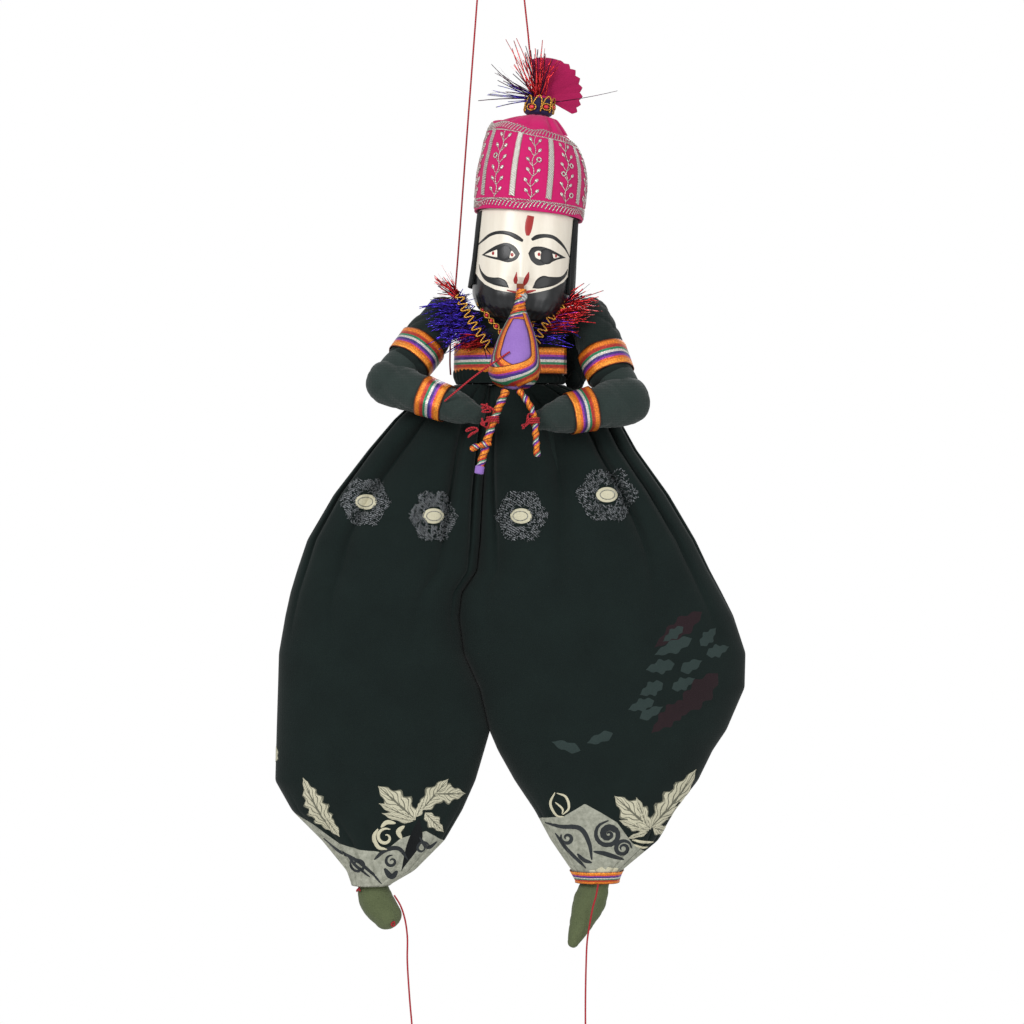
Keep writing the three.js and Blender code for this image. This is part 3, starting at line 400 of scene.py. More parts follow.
def surface(name, points, wrap=(False, False), caps=False, size=(1.0, 1.0), facing=None, attribute=None):
    """A mesh from a grid of figure points, shaped (rows, columns, 3), or from a stack of such grids. Each
    cell is a quad. wrap says which ways a grid closes on itself, and caps closes the ends of its rows with
    fans. Faces look away from each grid's middle, or towards facing. UV runs over size: columns, rows."""
    grid = place(points)
    rows, columns = grid.shape[-3:-1]
    grid = grid.reshape(-1, rows, columns, 3)
    count = len(grid)
    i, j = np.meshgrid(np.arange(rows - (not wrap[0])), np.arange(columns - (not wrap[1])), indexing="ij")
    i, j = i.ravel(), j.ravel()
    corners = ((0, 0), (0, 1), (1, 1), (1, 0))
    quads = np.stack([((i + a) % rows) * columns + (j + b) % columns for a, b in corners], -1)
    across, along = size[0] / max(j.max() + 1, 1), size[1] / max(i.max() + 1, 1)
    quad_uv = np.stack([np.stack([(j + b) * across, (i + a) * along], -1) for a, b in corners], 1)
    flat = grid.reshape(count, -1, 3)
    middle = flat.mean(1)
    corner = flat[:, quads]
    normal = np.cross(corner[:, :, 2] - corner[:, :, 0], corner[:, :, 3] - corner[:, :, 1])
    away = corner.mean(2) - middle[:, None] if facing is None else np.broadcast_to(facing, (count, 3))[:,
        None]
    inward = (normal * away).sum((1, 2)) < 0
    faces = np.where(inward[:, None, None], quads[:, ::-1], quads)
    uvs = np.where(inward[:, None, None, None], quad_uv[:, ::-1], quad_uv)
    vertices = flat
    per_grid = rows * columns
    loops = [(faces + (np.arange(count) * per_grid)[:, None, None]).reshape(-1)]
    loop_uv = [uvs.reshape(-1, 2)]
    totals = [np.full(count * len(quads), 4)]
    if caps:
        ends = grid[:, [0, -1]].mean(2)
        vertices = np.concatenate([flat.reshape(-1, 3), ends.reshape(-1, 3)])
        ring = np.arange(columns)
        after = (ring + 1) % columns
        for end, row in ((0, 0), (1, rows - 1)):
            hub = count * per_grid + np.arange(count) * 2 + end
            start = (np.arange(count) * per_grid + row * columns)[:, None]
            fan = np.stack([np.broadcast_to(hub[:, None], (count, columns)), start + after, start + ring],
                -1)
            turned = inward[:, None, None] ^ (end == 1)
            loops.append(np.where(turned, fan[..., ::-1], fan).reshape(-1))
            loop_uv.append(np.zeros((count * columns * 3, 2)))
            totals.append(np.full(count * columns, 3))
    loops, loop_uv, totals = np.concatenate(loops), np.concatenate(loop_uv), np.concatenate(totals)
    mesh = bpy.data.meshes.new(name)
    mesh.vertices.add(len(vertices.reshape(-1, 3)))
    mesh.vertices.foreach_set("co", vertices.astype(np.float32).ravel())
    mesh.loops.add(len(loops))
    mesh.loops.foreach_set("vertex_index", loops.astype(np.int32))
    mesh.polygons.add(len(totals))
    mesh.polygons.foreach_set("loop_start", np.concatenate([[0], np.cumsum(totals)[:-1]]).astype(np.int32))
    mesh.polygons.foreach_set("loop_total", totals.astype(np.int32))
    mesh.polygons.foreach_set("use_smooth", np.ones(len(totals), bool))
    mesh.uv_layers.new(name="UVMap").data.foreach_set("uv", loop_uv.astype(np.float32).ravel())
    if attribute:
        key, values = attribute
        values = np.concatenate([np.ravel(values),
            np.zeros(len(vertices.reshape(-1, 3)) - np.size(values))])
        mesh.attributes.new(key, "FLOAT", "POINT").data.foreach_set("value", values.astype(np.float32))
    mesh.update(calc_edges=True)
    obj = bpy.data.objects.new(name, mesh)
    bpy.context.scene.collection.objects.link(obj)
    return obj


def dress(obj, material, body, stands_for=()):
    """Gives a piece its material, attaches it to the body that it moves with, and hides the parts it stands
    for. Given a pair of bodies, it only bakes the piece's place into its mesh.
    """
    obj.data.materials.clear()
    obj.data.materials.append(material)
    if isinstance(body, str):
        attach(obj, body)
    else:
        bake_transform(obj)
    if stands_for:
        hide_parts(*stands_for)
    return obj


def thicken(obj, thickness, offset=0.0):
    """A live wall of the given thickness in millimetres on an open sheet."""
    solid = obj.modifiers.new("wall", "SOLIDIFY")
    solid.thickness = thickness * MM
    solid.offset = offset
    return obj


def apply_modifiers(obj):
    """The piece's mesh with its modifiers worked in, as a blend needs."""
    graph = bpy.context.evaluated_depsgraph_get()
    done = bpy.data.meshes.new_from_object(obj.evaluated_get(graph))
    obj.modifiers.clear()
    obj.data = done
    return obj


def unit(v):
    return v / np.maximum(np.linalg.norm(v, axis=-1, keepdims=True), 1e-9)


def smooth(points, count):
    """A centripetal Catmull-Rom curve through the points, read at evenly spaced lengths."""
    p = np.asarray(points, float)
    p = np.vstack([2 * p[0] - p[1], p, 2 * p[-1] - p[-2]])
    knot = np.concatenate([[0], np.cumsum(np.sqrt(np.linalg.norm(np.diff(p[:, :3], axis=0), axis=1)))])
    t = np.linspace(knot[1], knot[-2], 40 * len(p))
    k = np.clip(np.searchsorted(knot, t, side="right") - 1, 1, len(p) - 3)
    rows = [p[k + m] for m in (-1, 0, 1, 2)]
    times = [knot[k + m] for m in (-1, 0, 1, 2)]
    # the spline as three rounds of straight blends between neighbours
    for spans in (((0, 1), (1, 2), (2, 3)), ((0, 2), (1, 3)), ((1, 2),)):
        rows = [
            rows[m] + ((t - times[low]) / (times[high] - times[low]))[:, None] * (rows[m + 1] - rows[m])
            for m, (low, high) in enumerate(spans)
        ]
    line = rows[0]
    length = np.concatenate([[0], np.cumsum(np.linalg.norm(np.diff(line[:, :3], axis=0), axis=1))])
    even = np.linspace(0, length[-1], count)
    return np.stack([np.interp(even, length, column) for column in line.T], -1)


def sweep(path, radius, sides=10, up=(0.0, 1.0, 0.0), flat=1.0, roll=0.0):
    """Rings of a tube: an ellipse of the given radius, and flat times that in its other direction, carried
    square to a path. radius is one number or one per point; paths may be stacked; roll turns the section."""
    path = np.asarray(path, float)
    tangent = unit(np.gradient(path, axis=-2))
    side = unit(np.cross(tangent, np.broadcast_to(np.asarray(up, float), tangent.shape)))
    over = np.cross(side, tangent)
    roll = np.asarray(roll, float)[..., None, None] if np.ndim(roll) else roll
    side, over = np.cos(roll) * side + np.sin(roll) * over, np.cos(roll) * over - np.sin(roll) * side
    angle = TURN * np.arange(sides) / sides
    ring = (np.cos(angle)[:, None] * side[..., None, :] + flat * np.sin(angle)[:, None] * over[..., None,
        :])
    radius = np.broadcast_to(np.asarray(radius, float), path.shape[:-1])
    return path[..., None, :] + radius[..., None, None] * ring


def tube(name, path, radius, sides=10, **how):
    """A closed tube along one path or a stack of them, with rounded-off ends."""
    path = np.asarray(path, float)
    radius = np.broadcast_to(np.asarray(radius, float), path.shape[:-1]).copy()
    radius[..., 0] *= 0.7
    radius[..., -1] *= 0.7
    length = float(np.linalg.norm(np.diff(path, axis=-2), axis=-1).sum(-1).mean())
    return surface(name, sweep(path, radius, sides, **how), wrap=(False, True), caps=True,
                   size=(1.0, length))


def oval(turn, half_width, half_depth, power):
    """A point of a superellipse about the Z axis, at each angle."""
    c, s = np.cos(turn), np.sin(turn)
    x = half_width * np.sign(c) * np.abs(c) ** (2 / power)
    y = half_depth * np.sign(s) * np.abs(s) ** (2 / power)
    return x, y


def read(table, height, column):
    table = np.asarray(table, float)
    return np.interp(height, table[:, 0], table[:, column])


# ---- Strings ------------------------------------------------------------------------------------

ROUTE = {
    "head_string": [
        (20.6, -1, 587.5), (18.4, -1, 597), (14.5, -0.5, 612), (12.3, 0, 632), (9.9, 0, 654), (9.5, 0, 658),
    ],
    "back_string": [
        (-41.5, 26, 396), (-42, 27, 405), (-41, 26, 430), (-38, 22, 458), (-30.3, 14, 557), (-22.8, 8, 654),
        (-22.5, 8, 658),
    ],
    "foot_string_right": [
        (-79.8, -2.5, 36), (-75.4, -4, 29), (-72.4, -4.5, 20), (-70.7, -4.5, 8), (-70.7, -4, -9),
        (-69, -3.5, -36.6), (-67.6, -3, -53), (-67.4, -3, -58),
    ],
    "foot_string_left": [
        (60.4, -14.4, 45), (59, -13.9, 37), (56.8, -13.2, 29), (54.8, -12.6, 18), (53, -12, 6),
        (52.2, -11.5, -12), (51.8, -11, -36), (51.8, -11, -53), (51.8, -11, -58),
    ],
}
LOOP_RADIUS = 9.0
LOOP_STRETCH = 1.4
KNOT_RADIUS = 1.7
COIL_MIDDLE = 7.2
COIL_DROP = 9.9  # from a foot string's end down to the middle of its coil
COIL_LAYERS = 4


def coil_turns(centre):
    """The wound length: circles in the XZ plane, wound back and forth across the coil's width in layers a
    string apart, each layer one string nearer the middle than the last."""
    turns = np.linspace(0, COIL_LAYERS * 4, COIL_LAYERS * 4 * 36 + 1)
    layer = np.minimum(np.floor(turns / 4), COIL_LAYERS - 1)
    within = turns - 4 * layer
    travel = np.minimum(within, 3) - 1.5  # three turns cross the width, and the fourth steps inward
    step = np.clip(within - 3, 0, 1)
    outer = COIL_MIDDLE + 1.5 * STRING
    radius = outer - STRING * np.minimum(layer + step, COIL_LAYERS - 1)
    y = STRING * travel * np.where(layer % 2 == 0, 1, -1)
    angle = TURN * turns + math.pi / 2
    return np.stack([centre[0] + radius * np.cos(angle), centre[1] + y, centre[2] + radius * np.sin(angle)],
        -1)


def string_piece(name, points, body, nodes):
    """A string as a tube along its whole path, its UV map laid over its real length."""
    length = float(np.linalg.norm(np.diff(points, axis=0), axis=1).sum())
    string = surface(name, sweep(points, STRING / 2, 8), wrap=(False, True), caps=True, size=(1.0, length))
    dress(string, COTTON_STRING, body, nodes)
    return string


def knot(name, centre, radius, body, nodes=()):
    """An overhand knot: a three-lobed loop that passes over and under itself, drawn tight."""
    t = np.linspace(0, TURN, 73)[:-1]
    path = np.stack([
        np.sin(t) + 2 * np.sin(2 * t), 0.9 * -np.sin(3 * t), np.cos(t) - 2 * np.cos(2 * t),
    ], -1) * (radius - 0.2) / 3 + np.asarray(centre, float)
    path = np.concatenate([path, path[:1]])
    piece = surface(name, sweep(path[:-1], 0.5 * STRING, 8, up=(0.02, 1, 0.03)), wrap=(True, True),
                    size=(1.0, 40))
    return dress(piece, COTTON_STRING, body, nodes)


def upper_string(kind):
    """A hanging string with its knot and finger loop, taut from the puppet."""
    route = ROUTE[f"{kind}_string"]
    x, y, z = route[-1]
    knot_piece = knot(f"{kind}_string_knot_tied", (x, y, z + 0.3 + KNOT_RADIUS), KNOT_RADIUS, "bust",
                      [f"{kind}_knot"])
    middle = z + 0.6 + 2 * KNOT_RADIUS + (LOOP_RADIUS + STRING / 2) * LOOP_STRETCH
    turn = np.linspace(0, TURN, 65)[:-1]
    ring = np.stack([x + LOOP_RADIUS * np.cos(turn), np.full(64, float(y)),
                     middle + LOOP_STRETCH * LOOP_RADIUS * np.sin(turn)], -1)
    rings = sweep(np.concatenate([ring[-1:], ring, ring[:1]]), STRING / 2, 8)[1:-1]
    loop = surface(f"{kind}_string_finger_loop", rings, wrap=(True, True), size=(1.0, TURN * LOOP_RADIUS))
    dress(loop, COTTON_STRING, "bust", [f"{kind}_loop"])
    string_piece(f"{kind}_control_string", smooth(route, 260), "bust", [f"{kind}_string"])


def foot_string(side):
    """A foot's string: it hangs from the foot, and its spare length is wound in a small tied coil."""
    route = ROUTE[f"foot_string_{side}"]
    end = np.array(route[-1], float)
    centre = end - (0, 0, COIL_DROP)
    free = smooth(route, 170)
    turns = coil_turns(centre)
    lead = np.linspace(free[-1], turns[0], 6)[1:-1]
    points = np.concatenate([free, lead, turns[3:]])
    foot = f"foot_{side}"
    turn = np.linspace(0, TURN * 3, 90)
    across = np.linspace(-1.4, 1.4, 90)
    waist = COIL_MIDDLE + 2.95 * np.cos(turn)
    tie_path = centre + np.stack([waist, 3.0 * np.sin(turn), across], -1)
    tie = tube(f"coil_tie_{side}", tie_path, 0.35, 6, up=(0, 0, 1))
    dress(tie, COTTON_STRING, foot)
    return string_piece(f"foot_control_string_{side}", points, foot,
                        [f"foot_string_{side}", f"foot_coil_{side}"])


for end in ("head", "back"):
    upper_string(end)
for side in SIDES:
    foot_string(side)

# ---- Head ---------------------------------------------------------------------------------------

CHIN = (5.5, 429.0)
HEAD_LEAN = math.radians(5.5)
HEAD_POWER = 2.3
CAP_FOOT = 75.0
CAP_TOP = 134.0
NOSE = 4.5
TORSO_Y = 3.0
CAP_PROFILE = [  # height up the head, half-width, half-depth
    (75, 37.5, 39), (88, 38.2, 39.7), (101.6, 38.1, 39.5), (110.4, 36.9, 38.4), (119.8, 34.3, 36),
    (128.7, 30, 31.5), (134, 25.5, 27),
]
FACE_PROFILE = [  # height, half-width, half-depth, forward
    (3, 20.7, 19.8, 10), (9, 29.3, 28.8, 7), (17, 33.1, 33.8, 3), (28, 34.5, 35.6, 1), (75, 34.5, 36, 0),
]
BUST_PROFILE = [  # figure height, half-width, half-depth
    (388, 24.8, 11.25), (391, 29.8, 14), (400, 31, 15), (414, 31, 15), (421, 26.35, 14.25), (424, 13.2, 12),
    (429, 12, 10.8),
]


def lean(u, y, h):
    """The head's own across, depth and height, leaned over and set on the neck, in figure millimetres."""
    u, y, h = np.broadcast_arrays(u, y, h)
    x = CHIN[0] + u * math.cos(HEAD_LEAN) + h * math.sin(HEAD_LEAN)
    z = CHIN[1] - u * math.sin(HEAD_LEAN) + h * math.cos(HEAD_LEAN)
    return np.stack([x, y, z], -1)


def nose(h, u):
    """A ridge that grows from between the eyes to its tip and is cut back under it."""
    fall = np.where(h < 30, (30 - h) / 5, (h - 30) / 26)
    return NOSE * np.clip(1 - fall, 0, None) * np.exp(-((u / 6) ** 2))


def eased(table, column):
    """A table's column read every millimetre and rounded off at its corners."""
    table = np.asarray(table, float)
    heights = np.arange(table[0, 0], table[-1, 0] + 0.5, 0.5)
    values = np.interp(heights, table[:, 0], table[:, column])
    window = np.hanning(13)
    padded = np.pad(values, 6, mode="edge")
    return heights, np.convolve(padded, window / window.sum(), mode="valid")


def face_size(h):
    return [np.interp(h, *eased(FACE_PROFILE, column)) for column in (1, 2, 3)]


def face_depth(u, h):
    """How far forward the painted face stands, at a place across and up it."""
    a, b, forward = face_size(h)
    share = np.clip(np.abs(u / a), 0, 0.9995)
    return -forward - b * (1 - share ** HEAD_POWER) ** (1 / HEAD_POWER) - nose(h, u)


def on_face(u, h, out):
    """A point on the face, raised out millimetres along its normal."""
    h = h - FACE_DROP
    step = 0.3
    slope_u = (face_depth(u + step, h) - face_depth(u - step, h)) / (2 * step)
    slope_h = (face_depth(u, h + step) - face_depth(u, h - step)) / (2 * step)
    size = np.sqrt(1 + slope_u ** 2 + slope_h ** 2)
    return lean(u + out * slope_u / size, face_depth(u, h) - out / size, h + out * slope_h / size)


# The line where the cream face ends over the black beard: across, up.
BEARD_LINE = [
    (-34.5, 38), (-33.5, 36.6), (-28.9, 30.5), (-24.8, 26.9), (-17.7, 23.8), (-11.4, 22.9), (-5.2, 22.5),
    (1, 22.4), (7.1, 23.3), (13.1, 25.1), (19.1, 27.4), (23.7, 30.3), (28.3, 33.9), (32.1, 40.4),
    (34.5, 45),
]
FACE_DROP = 3.3  # the painting sits this much lower than its tables say
FACE_LEFT_EDGE = 31.3  # the cream ends a little short of the side on the puppet's left
FACE_RIGHT_EDGE = 34.1


def carved_head():
    """The carved and painted wooden head on its neck and bust: ovals stacked up the figure, with the nose's
    ridge pushed forward out of them. The beard below the face has shallow upright gouges."""
    turn = TURN * np.arange(200) / 200
    bust = np.array(BUST_PROFILE)
    z = np.linspace(388, 429, 30)[:, None]
    a, b = np.interp(z, bust[:, 0], bust[:, 1]), np.interp(z, bust[:, 0], bust[:, 2])
    x, y = oval(turn[None, :], a, b, 2.4)
    torso = np.stack([x + 5.5 * np.clip(z - 414, 0, None) / 15, y + TORSO_Y, np.broadcast_to(z, x.shape)],
        -1)
    h = np.concatenate([np.linspace(3, 75, 145), np.linspace(78, 131, 14)])[:, None]
    a, b, forward = (np.where(h > 75, read(CAP_PROFILE, h, m) - 3, v) if m else np.where(h > 75, 0, v)
                     for m, v in zip((1, 2, 0), face_size(h)))
    gouge = 0.28 * np.clip((20 - h) / 10, 0, 1) * np.abs(np.sin(turn[None, :] * 17)) ** 3
    u, y = oval(turn[None, :], a - gouge, b - gouge, HEAD_POWER)
    y = y - forward
    y = np.where(y < -forward, y - nose(h, u), y)
    rings = np.concatenate([torso, lean(u, y, np.broadcast_to(h, u.shape))])
    line = np.array(BEARD_LINE)
    inside = np.minimum(h + FACE_DROP - np.interp(u, line[:, 0], line[:, 1]),
                        np.minimum(FACE_LEFT_EDGE - u, FACE_RIGHT_EDGE + u))
    inside = np.where((y < 0) & (h <= 75), inside, -20)
    measure = np.concatenate([np.full(torso.shape[:2], -20.0), inside])
    head = surface("carved_head_painted", rings, wrap=(False, True), caps=True, attribute=("face", measure))
    return dress(head, WOOD, "bust", ["carved_head"])


def stroke(name, line, material, out=0.16):
    """A brush stroke on the face: rows of (across, up, width) joined smoothly, its paint thickest in the
    middle and drawn out at the ends."""
    line = np.asarray(line, float)
    smooth_line = smooth(line, 48)
    centre, width = smooth_line[:, :2], np.clip(smooth_line[:, 2], 0.15, None)
    along = unit(np.gradient(centre, axis=0))
    across = np.stack([-along[:, 1], along[:, 0]], -1)
    t = np.linspace(-1, 1, 7)
    flat = centre[:, None] + 0.5 * width[:, None, None] * t[:, None] * across[:, None]
    rise = out * (1 - t[None, :] ** 4) * np.ones((len(centre), 1))
    rise[[0, -1]] = 0
    points = on_face(flat[..., 0], flat[..., 1], rise - 0.02)
    piece = surface(name, points, facing=(0, -1, 0))
    return dress(piece, material, "bust")


def patch(name, top, bottom, material, out=0.14, steps=(40, 12)):
    """A filled shape painted between two smooth edges, each a list of (across, up) with shared ends."""
    pad = lambda edge: smooth([(u, h, 0) for u, h in edge], steps[0])[:, :2]
    upper, lower = pad(top), pad(bottom)
    t = np.linspace(0, 1, steps[1])[None, :, None]
    flat = upper[:, None] * (1 - t) + lower[:, None] * t
    rise = out * (1 - np.abs(2 * t[..., 0] - 1) ** 6) * np.ones((steps[0], 1))
    rise[[0, -1]] = 0
    points = on_face(flat[..., 0], flat[..., 1], rise - 0.02)
    return dress(surface(name, points, facing=(0, -1, 0)), material, "bust")


def dot(name, u, h, radius, material, out=0.3, stretch=1.0):
    """A round dab of paint: rings about its middle, domed."""
    r = np.linspace(0, 1, 7)[:, None]
    turn = TURN * np.arange(28)[None, :] / 28
    points = on_face(u + radius * r * np.cos(turn), h + stretch * radius * r * np.sin(turn),
                     out * np.sqrt(np.clip(1 - r ** 2, 0, 1)) * np.ones_like(turn) - 0.02)
    return dress(surface(name, points, wrap=(False, True), facing=(0, -1, 0)), material, "bust")

# Paint strokes: (across, up, width) in the head's millimetres.
BROWS = {
    "right": [(-33.4, 53.4, 0.4), (-29, 57.4, 1.5), (-24.4, 61, 1.9), (-18.4, 62.7, 2), (-11.5, 62.2, 2.4),
              (-6.4, 60.2, 2.7), (-1.8, 58, 1.6)],
    "left": [(3.8, 59.3, 1.6), (7.1, 61.6, 2.6), (12.5, 63.1, 2.2), (18.1, 62.9, 2.2), (22.6, 60.6, 2),
             (27.2, 56.6, 1.2), (31.2, 51, 0.4)],
}
EYES = {
    "right": {
        "top": [(-29.2, 47.1), (-24.1, 51.1), (-18.8, 54.4), (-12.8, 56.2), (-7, 54), (-3.1, 49.1)],
        "bottom": [(-29.2, 47.1), (-23.5, 45), (-17.2, 43.7), (-10.2, 42.5), (-4.9, 45.2), (-3.1, 49.1)],
        "whites": [
            ([(-27, 47.3), (-22.5, 49.7), (-18.6, 51.6)], [(-27, 47.3), (-22, 45.9), (-18, 45.2)]),
            ([(-10, 45.8), (-9.3, 51.3), (-6, 47.9)], [(-10, 45.8), (-7.6, 45.6), (-6, 47.9)]),
        ],
        "iris": (-13.6, 49.1, 5.7),
        "veins": [(-21.2, 48.3, 1.1, 1.4), (-8.3, 48.1, 1.3, 1.2)],
    },
    "left": {
        "top": [(2.4, 49.9), (4.7, 54.4), (10.1, 55.8), (16.4, 54.9), (21.6, 53.1), (28.3, 50.6)],
        "bottom": [(2.4, 49.9), (5, 45), (9.6, 42.3), (16.8, 44.6), (22, 47.8), (28.3, 50.6)],
        "whites": [
            ([(6.6, 51), (8.8, 52.9), (11.8, 52.7)], [(6.6, 51), (7.6, 47.4), (11.4, 45.8)]),
            ([(18.6, 51.8), (20.8, 51.6), (24, 50.3)], [(18.6, 51.8), (20, 48.6), (24, 50.3)]),
        ],
        "iris": (14.6, 49.4, 5.6),
        "veins": [(9.7, 50.1, 1.25, 1.2), (21.2, 50.4, 0.9, 1.4)],
    },
}
MOUSTACHE = {
    "right": ([(-30.4, 41.2), (-28.2, 36.5), (-24.1, 32.7), (-19.7, 31.9), (-15.4, 32), (-10.9, 30.1),
        (-8.3, 25.6)],
              [(-30.4, 41.2), (-28.9, 35.2), (-25.4, 30), (-19.9, 27.2), (-13.6, 25.9), (-8.3, 25.6)]),
    "left": ([(30.2, 43.6), (28.1, 39.4), (25.6, 37.2), (18.2, 36), (13.9, 36.1), (9.8, 33.1), (7.4, 26.8)],
             [(30.2, 43.6), (29.7, 38.9), (26.5, 34.1), (21.9, 30.4), (16.5, 28.2), (11.7, 26.9),
                 (7.4, 26.8)]),
}
NOSTRILS = {
    "right": [(-4.1, 36.6, 0.3), (-4.3, 33.4, 1.9), (-4.4, 31, 3), (-4.1, 28.6, 1.6)],
    "left": [(4, 37.3, 0.4), (3.5, 34.2, 2.6), (2.6, 31, 3.1), (1.1, 27.6, 1.3)],
}
TILAK = [(1.7, 75.6, 5), (1.1, 70, 5.5), (0.9, 65, 4.4), (1, 61.9, 2.2)]
MOUTH_LINE = [(-9.7, 23.9, 0.7), (-5.3, 23.2, 1.4), (0.4, 23, 1.7), (5.2, 24.2, 2), (10, 25.7, 0.7)]


def face_paint():
    """The face as a village painter does it: filled shapes between two edges, strokes that swell and thin,
    and dabs, each a slightly raised film of enamel."""
    for side in SIDES:
        eye = EYES[side]
        stroke(f"brow_{side}", [(u, h, 1.2 * w) for u, h, w in BROWS[side]], BLACK_ENAMEL)
        patch(f"eye_rim_{side}", eye["top"], eye["bottom"], BLACK_ENAMEL, 0.14)
        for k, (top, bottom) in enumerate(eye["whites"]):
            patch(f"eye_white_{side}_{k + 1}", top, bottom, WHITE_ENAMEL, 0.3, (20, 8))
        u, h, radius = eye["iris"]
        dot(f"iris_{side}", u, h, radius, BLACK_ENAMEL, 0.42)
        for k, (u, h, radius, stretch) in enumerate(eye["veins"]):
            dot(f"eye_dab_{side}_{k + 1}", u, h, radius, RED_ENAMEL, 0.5, stretch)
        patch(f"moustache_{side}", *MOUSTACHE[side], BLACK_ENAMEL, 0.35)
        stroke(f"nostril_{side}", NOSTRILS[side], RED_ENAMEL, 0.25)
    stroke("tilak", TILAK, RED_ENAMEL, 0.22)
    stroke("mouth_line", MOUTH_LINE, RED_ENAMEL, 0.22)


carved_head()
face_paint()

# ---- Turban -------------------------------------------------------------------------------------

BAND_STRIPES = 10  # silver stripes round the band, with a vine between each two
VINE_NODES = 6
CROWN_TOP = CAP_TOP + 24
BINDING_FOOT = CAP_TOP + 11


def band_ring():
    """Evenly spaced lengths round the band's widest oval and the angles that give them, from the front."""
    turn = np.linspace(-TURN / 4, TURN * 3 / 4, 2001)
    x, y = oval(turn, 38, 39.6, HEAD_POWER)
    length = np.concatenate([[0], np.cumsum(np.hypot(np.diff(x), np.diff(y)))])
    return length, turn


BAND_LENGTH, BAND_TURN = band_ring()


def on_band(along, h, out=0.0):
    """A point on the turban band: length round it from the front, height up it, millimetres proud."""
    turn = np.interp(np.mod(along, BAND_LENGTH[-1]), BAND_LENGTH, BAND_TURN)
    right = -np.cos(turn)  # the band stands higher and fuller on the puppet's right
    h, out = np.broadcast_arrays(h, out)
    out = out + 4.5 * np.clip((h - 112) / 20, 0, 1) ** 1.3 * np.clip(right, 0, 1)
    wave = 0.35 * np.sin(turn * 5) * np.clip((h - 110) / 20, 0, 1)
    u, y = oval(turn, np.interp(h, *eased(CAP_PROFILE, 1)) + out,
        np.interp(h, *eased(CAP_PROFILE, 2)) + out,
                HEAD_POWER)
    return lean(u, y, h + wave + 4.5 * right * np.clip((h - 95) / 38, 0, 1))


def turban_band():
    """The stiff embroidered band: a wall whose outside follows the band's ovals, turned in at both edges."""
    along = np.linspace(0, BAND_LENGTH[-1], 241)[:-1][None, :]
    h = np.concatenate([[77, 75.6], np.linspace(75.3, 133.6, 80), [133.8, 132]])[:, None]
    out = np.concatenate([[-2.2, -1.6], np.zeros(80), [-1.5, -2.2]])[:, None]
    piece = surface("turban_band_cloth", on_band(along, h, out), wrap=(False, True),
                    size=(BAND_LENGTH[-1], 60))
    dress(piece, CLOTH["pink"], "bust", ["turban_band"])


def stitched(name, path, radius, sides=6, material=None, out=0.3):
    """A thread laid on the band: its path is (length round, height), couched half its thickness proud."""
    path = np.asarray(path, float)
    points = on_band(path[..., 0], path[..., 1], out)
    away = unit(points.mean(-2, keepdims=True) - lean(0, 0, 105)) if points.ndim > 2 else None
    up = (0.0, 0.0, 1.0) if away is None else away * np.ones_like(points)
    piece = tube(name, points, radius, sides, up=up)
    return dress(piece, material or SILVER, "bust")


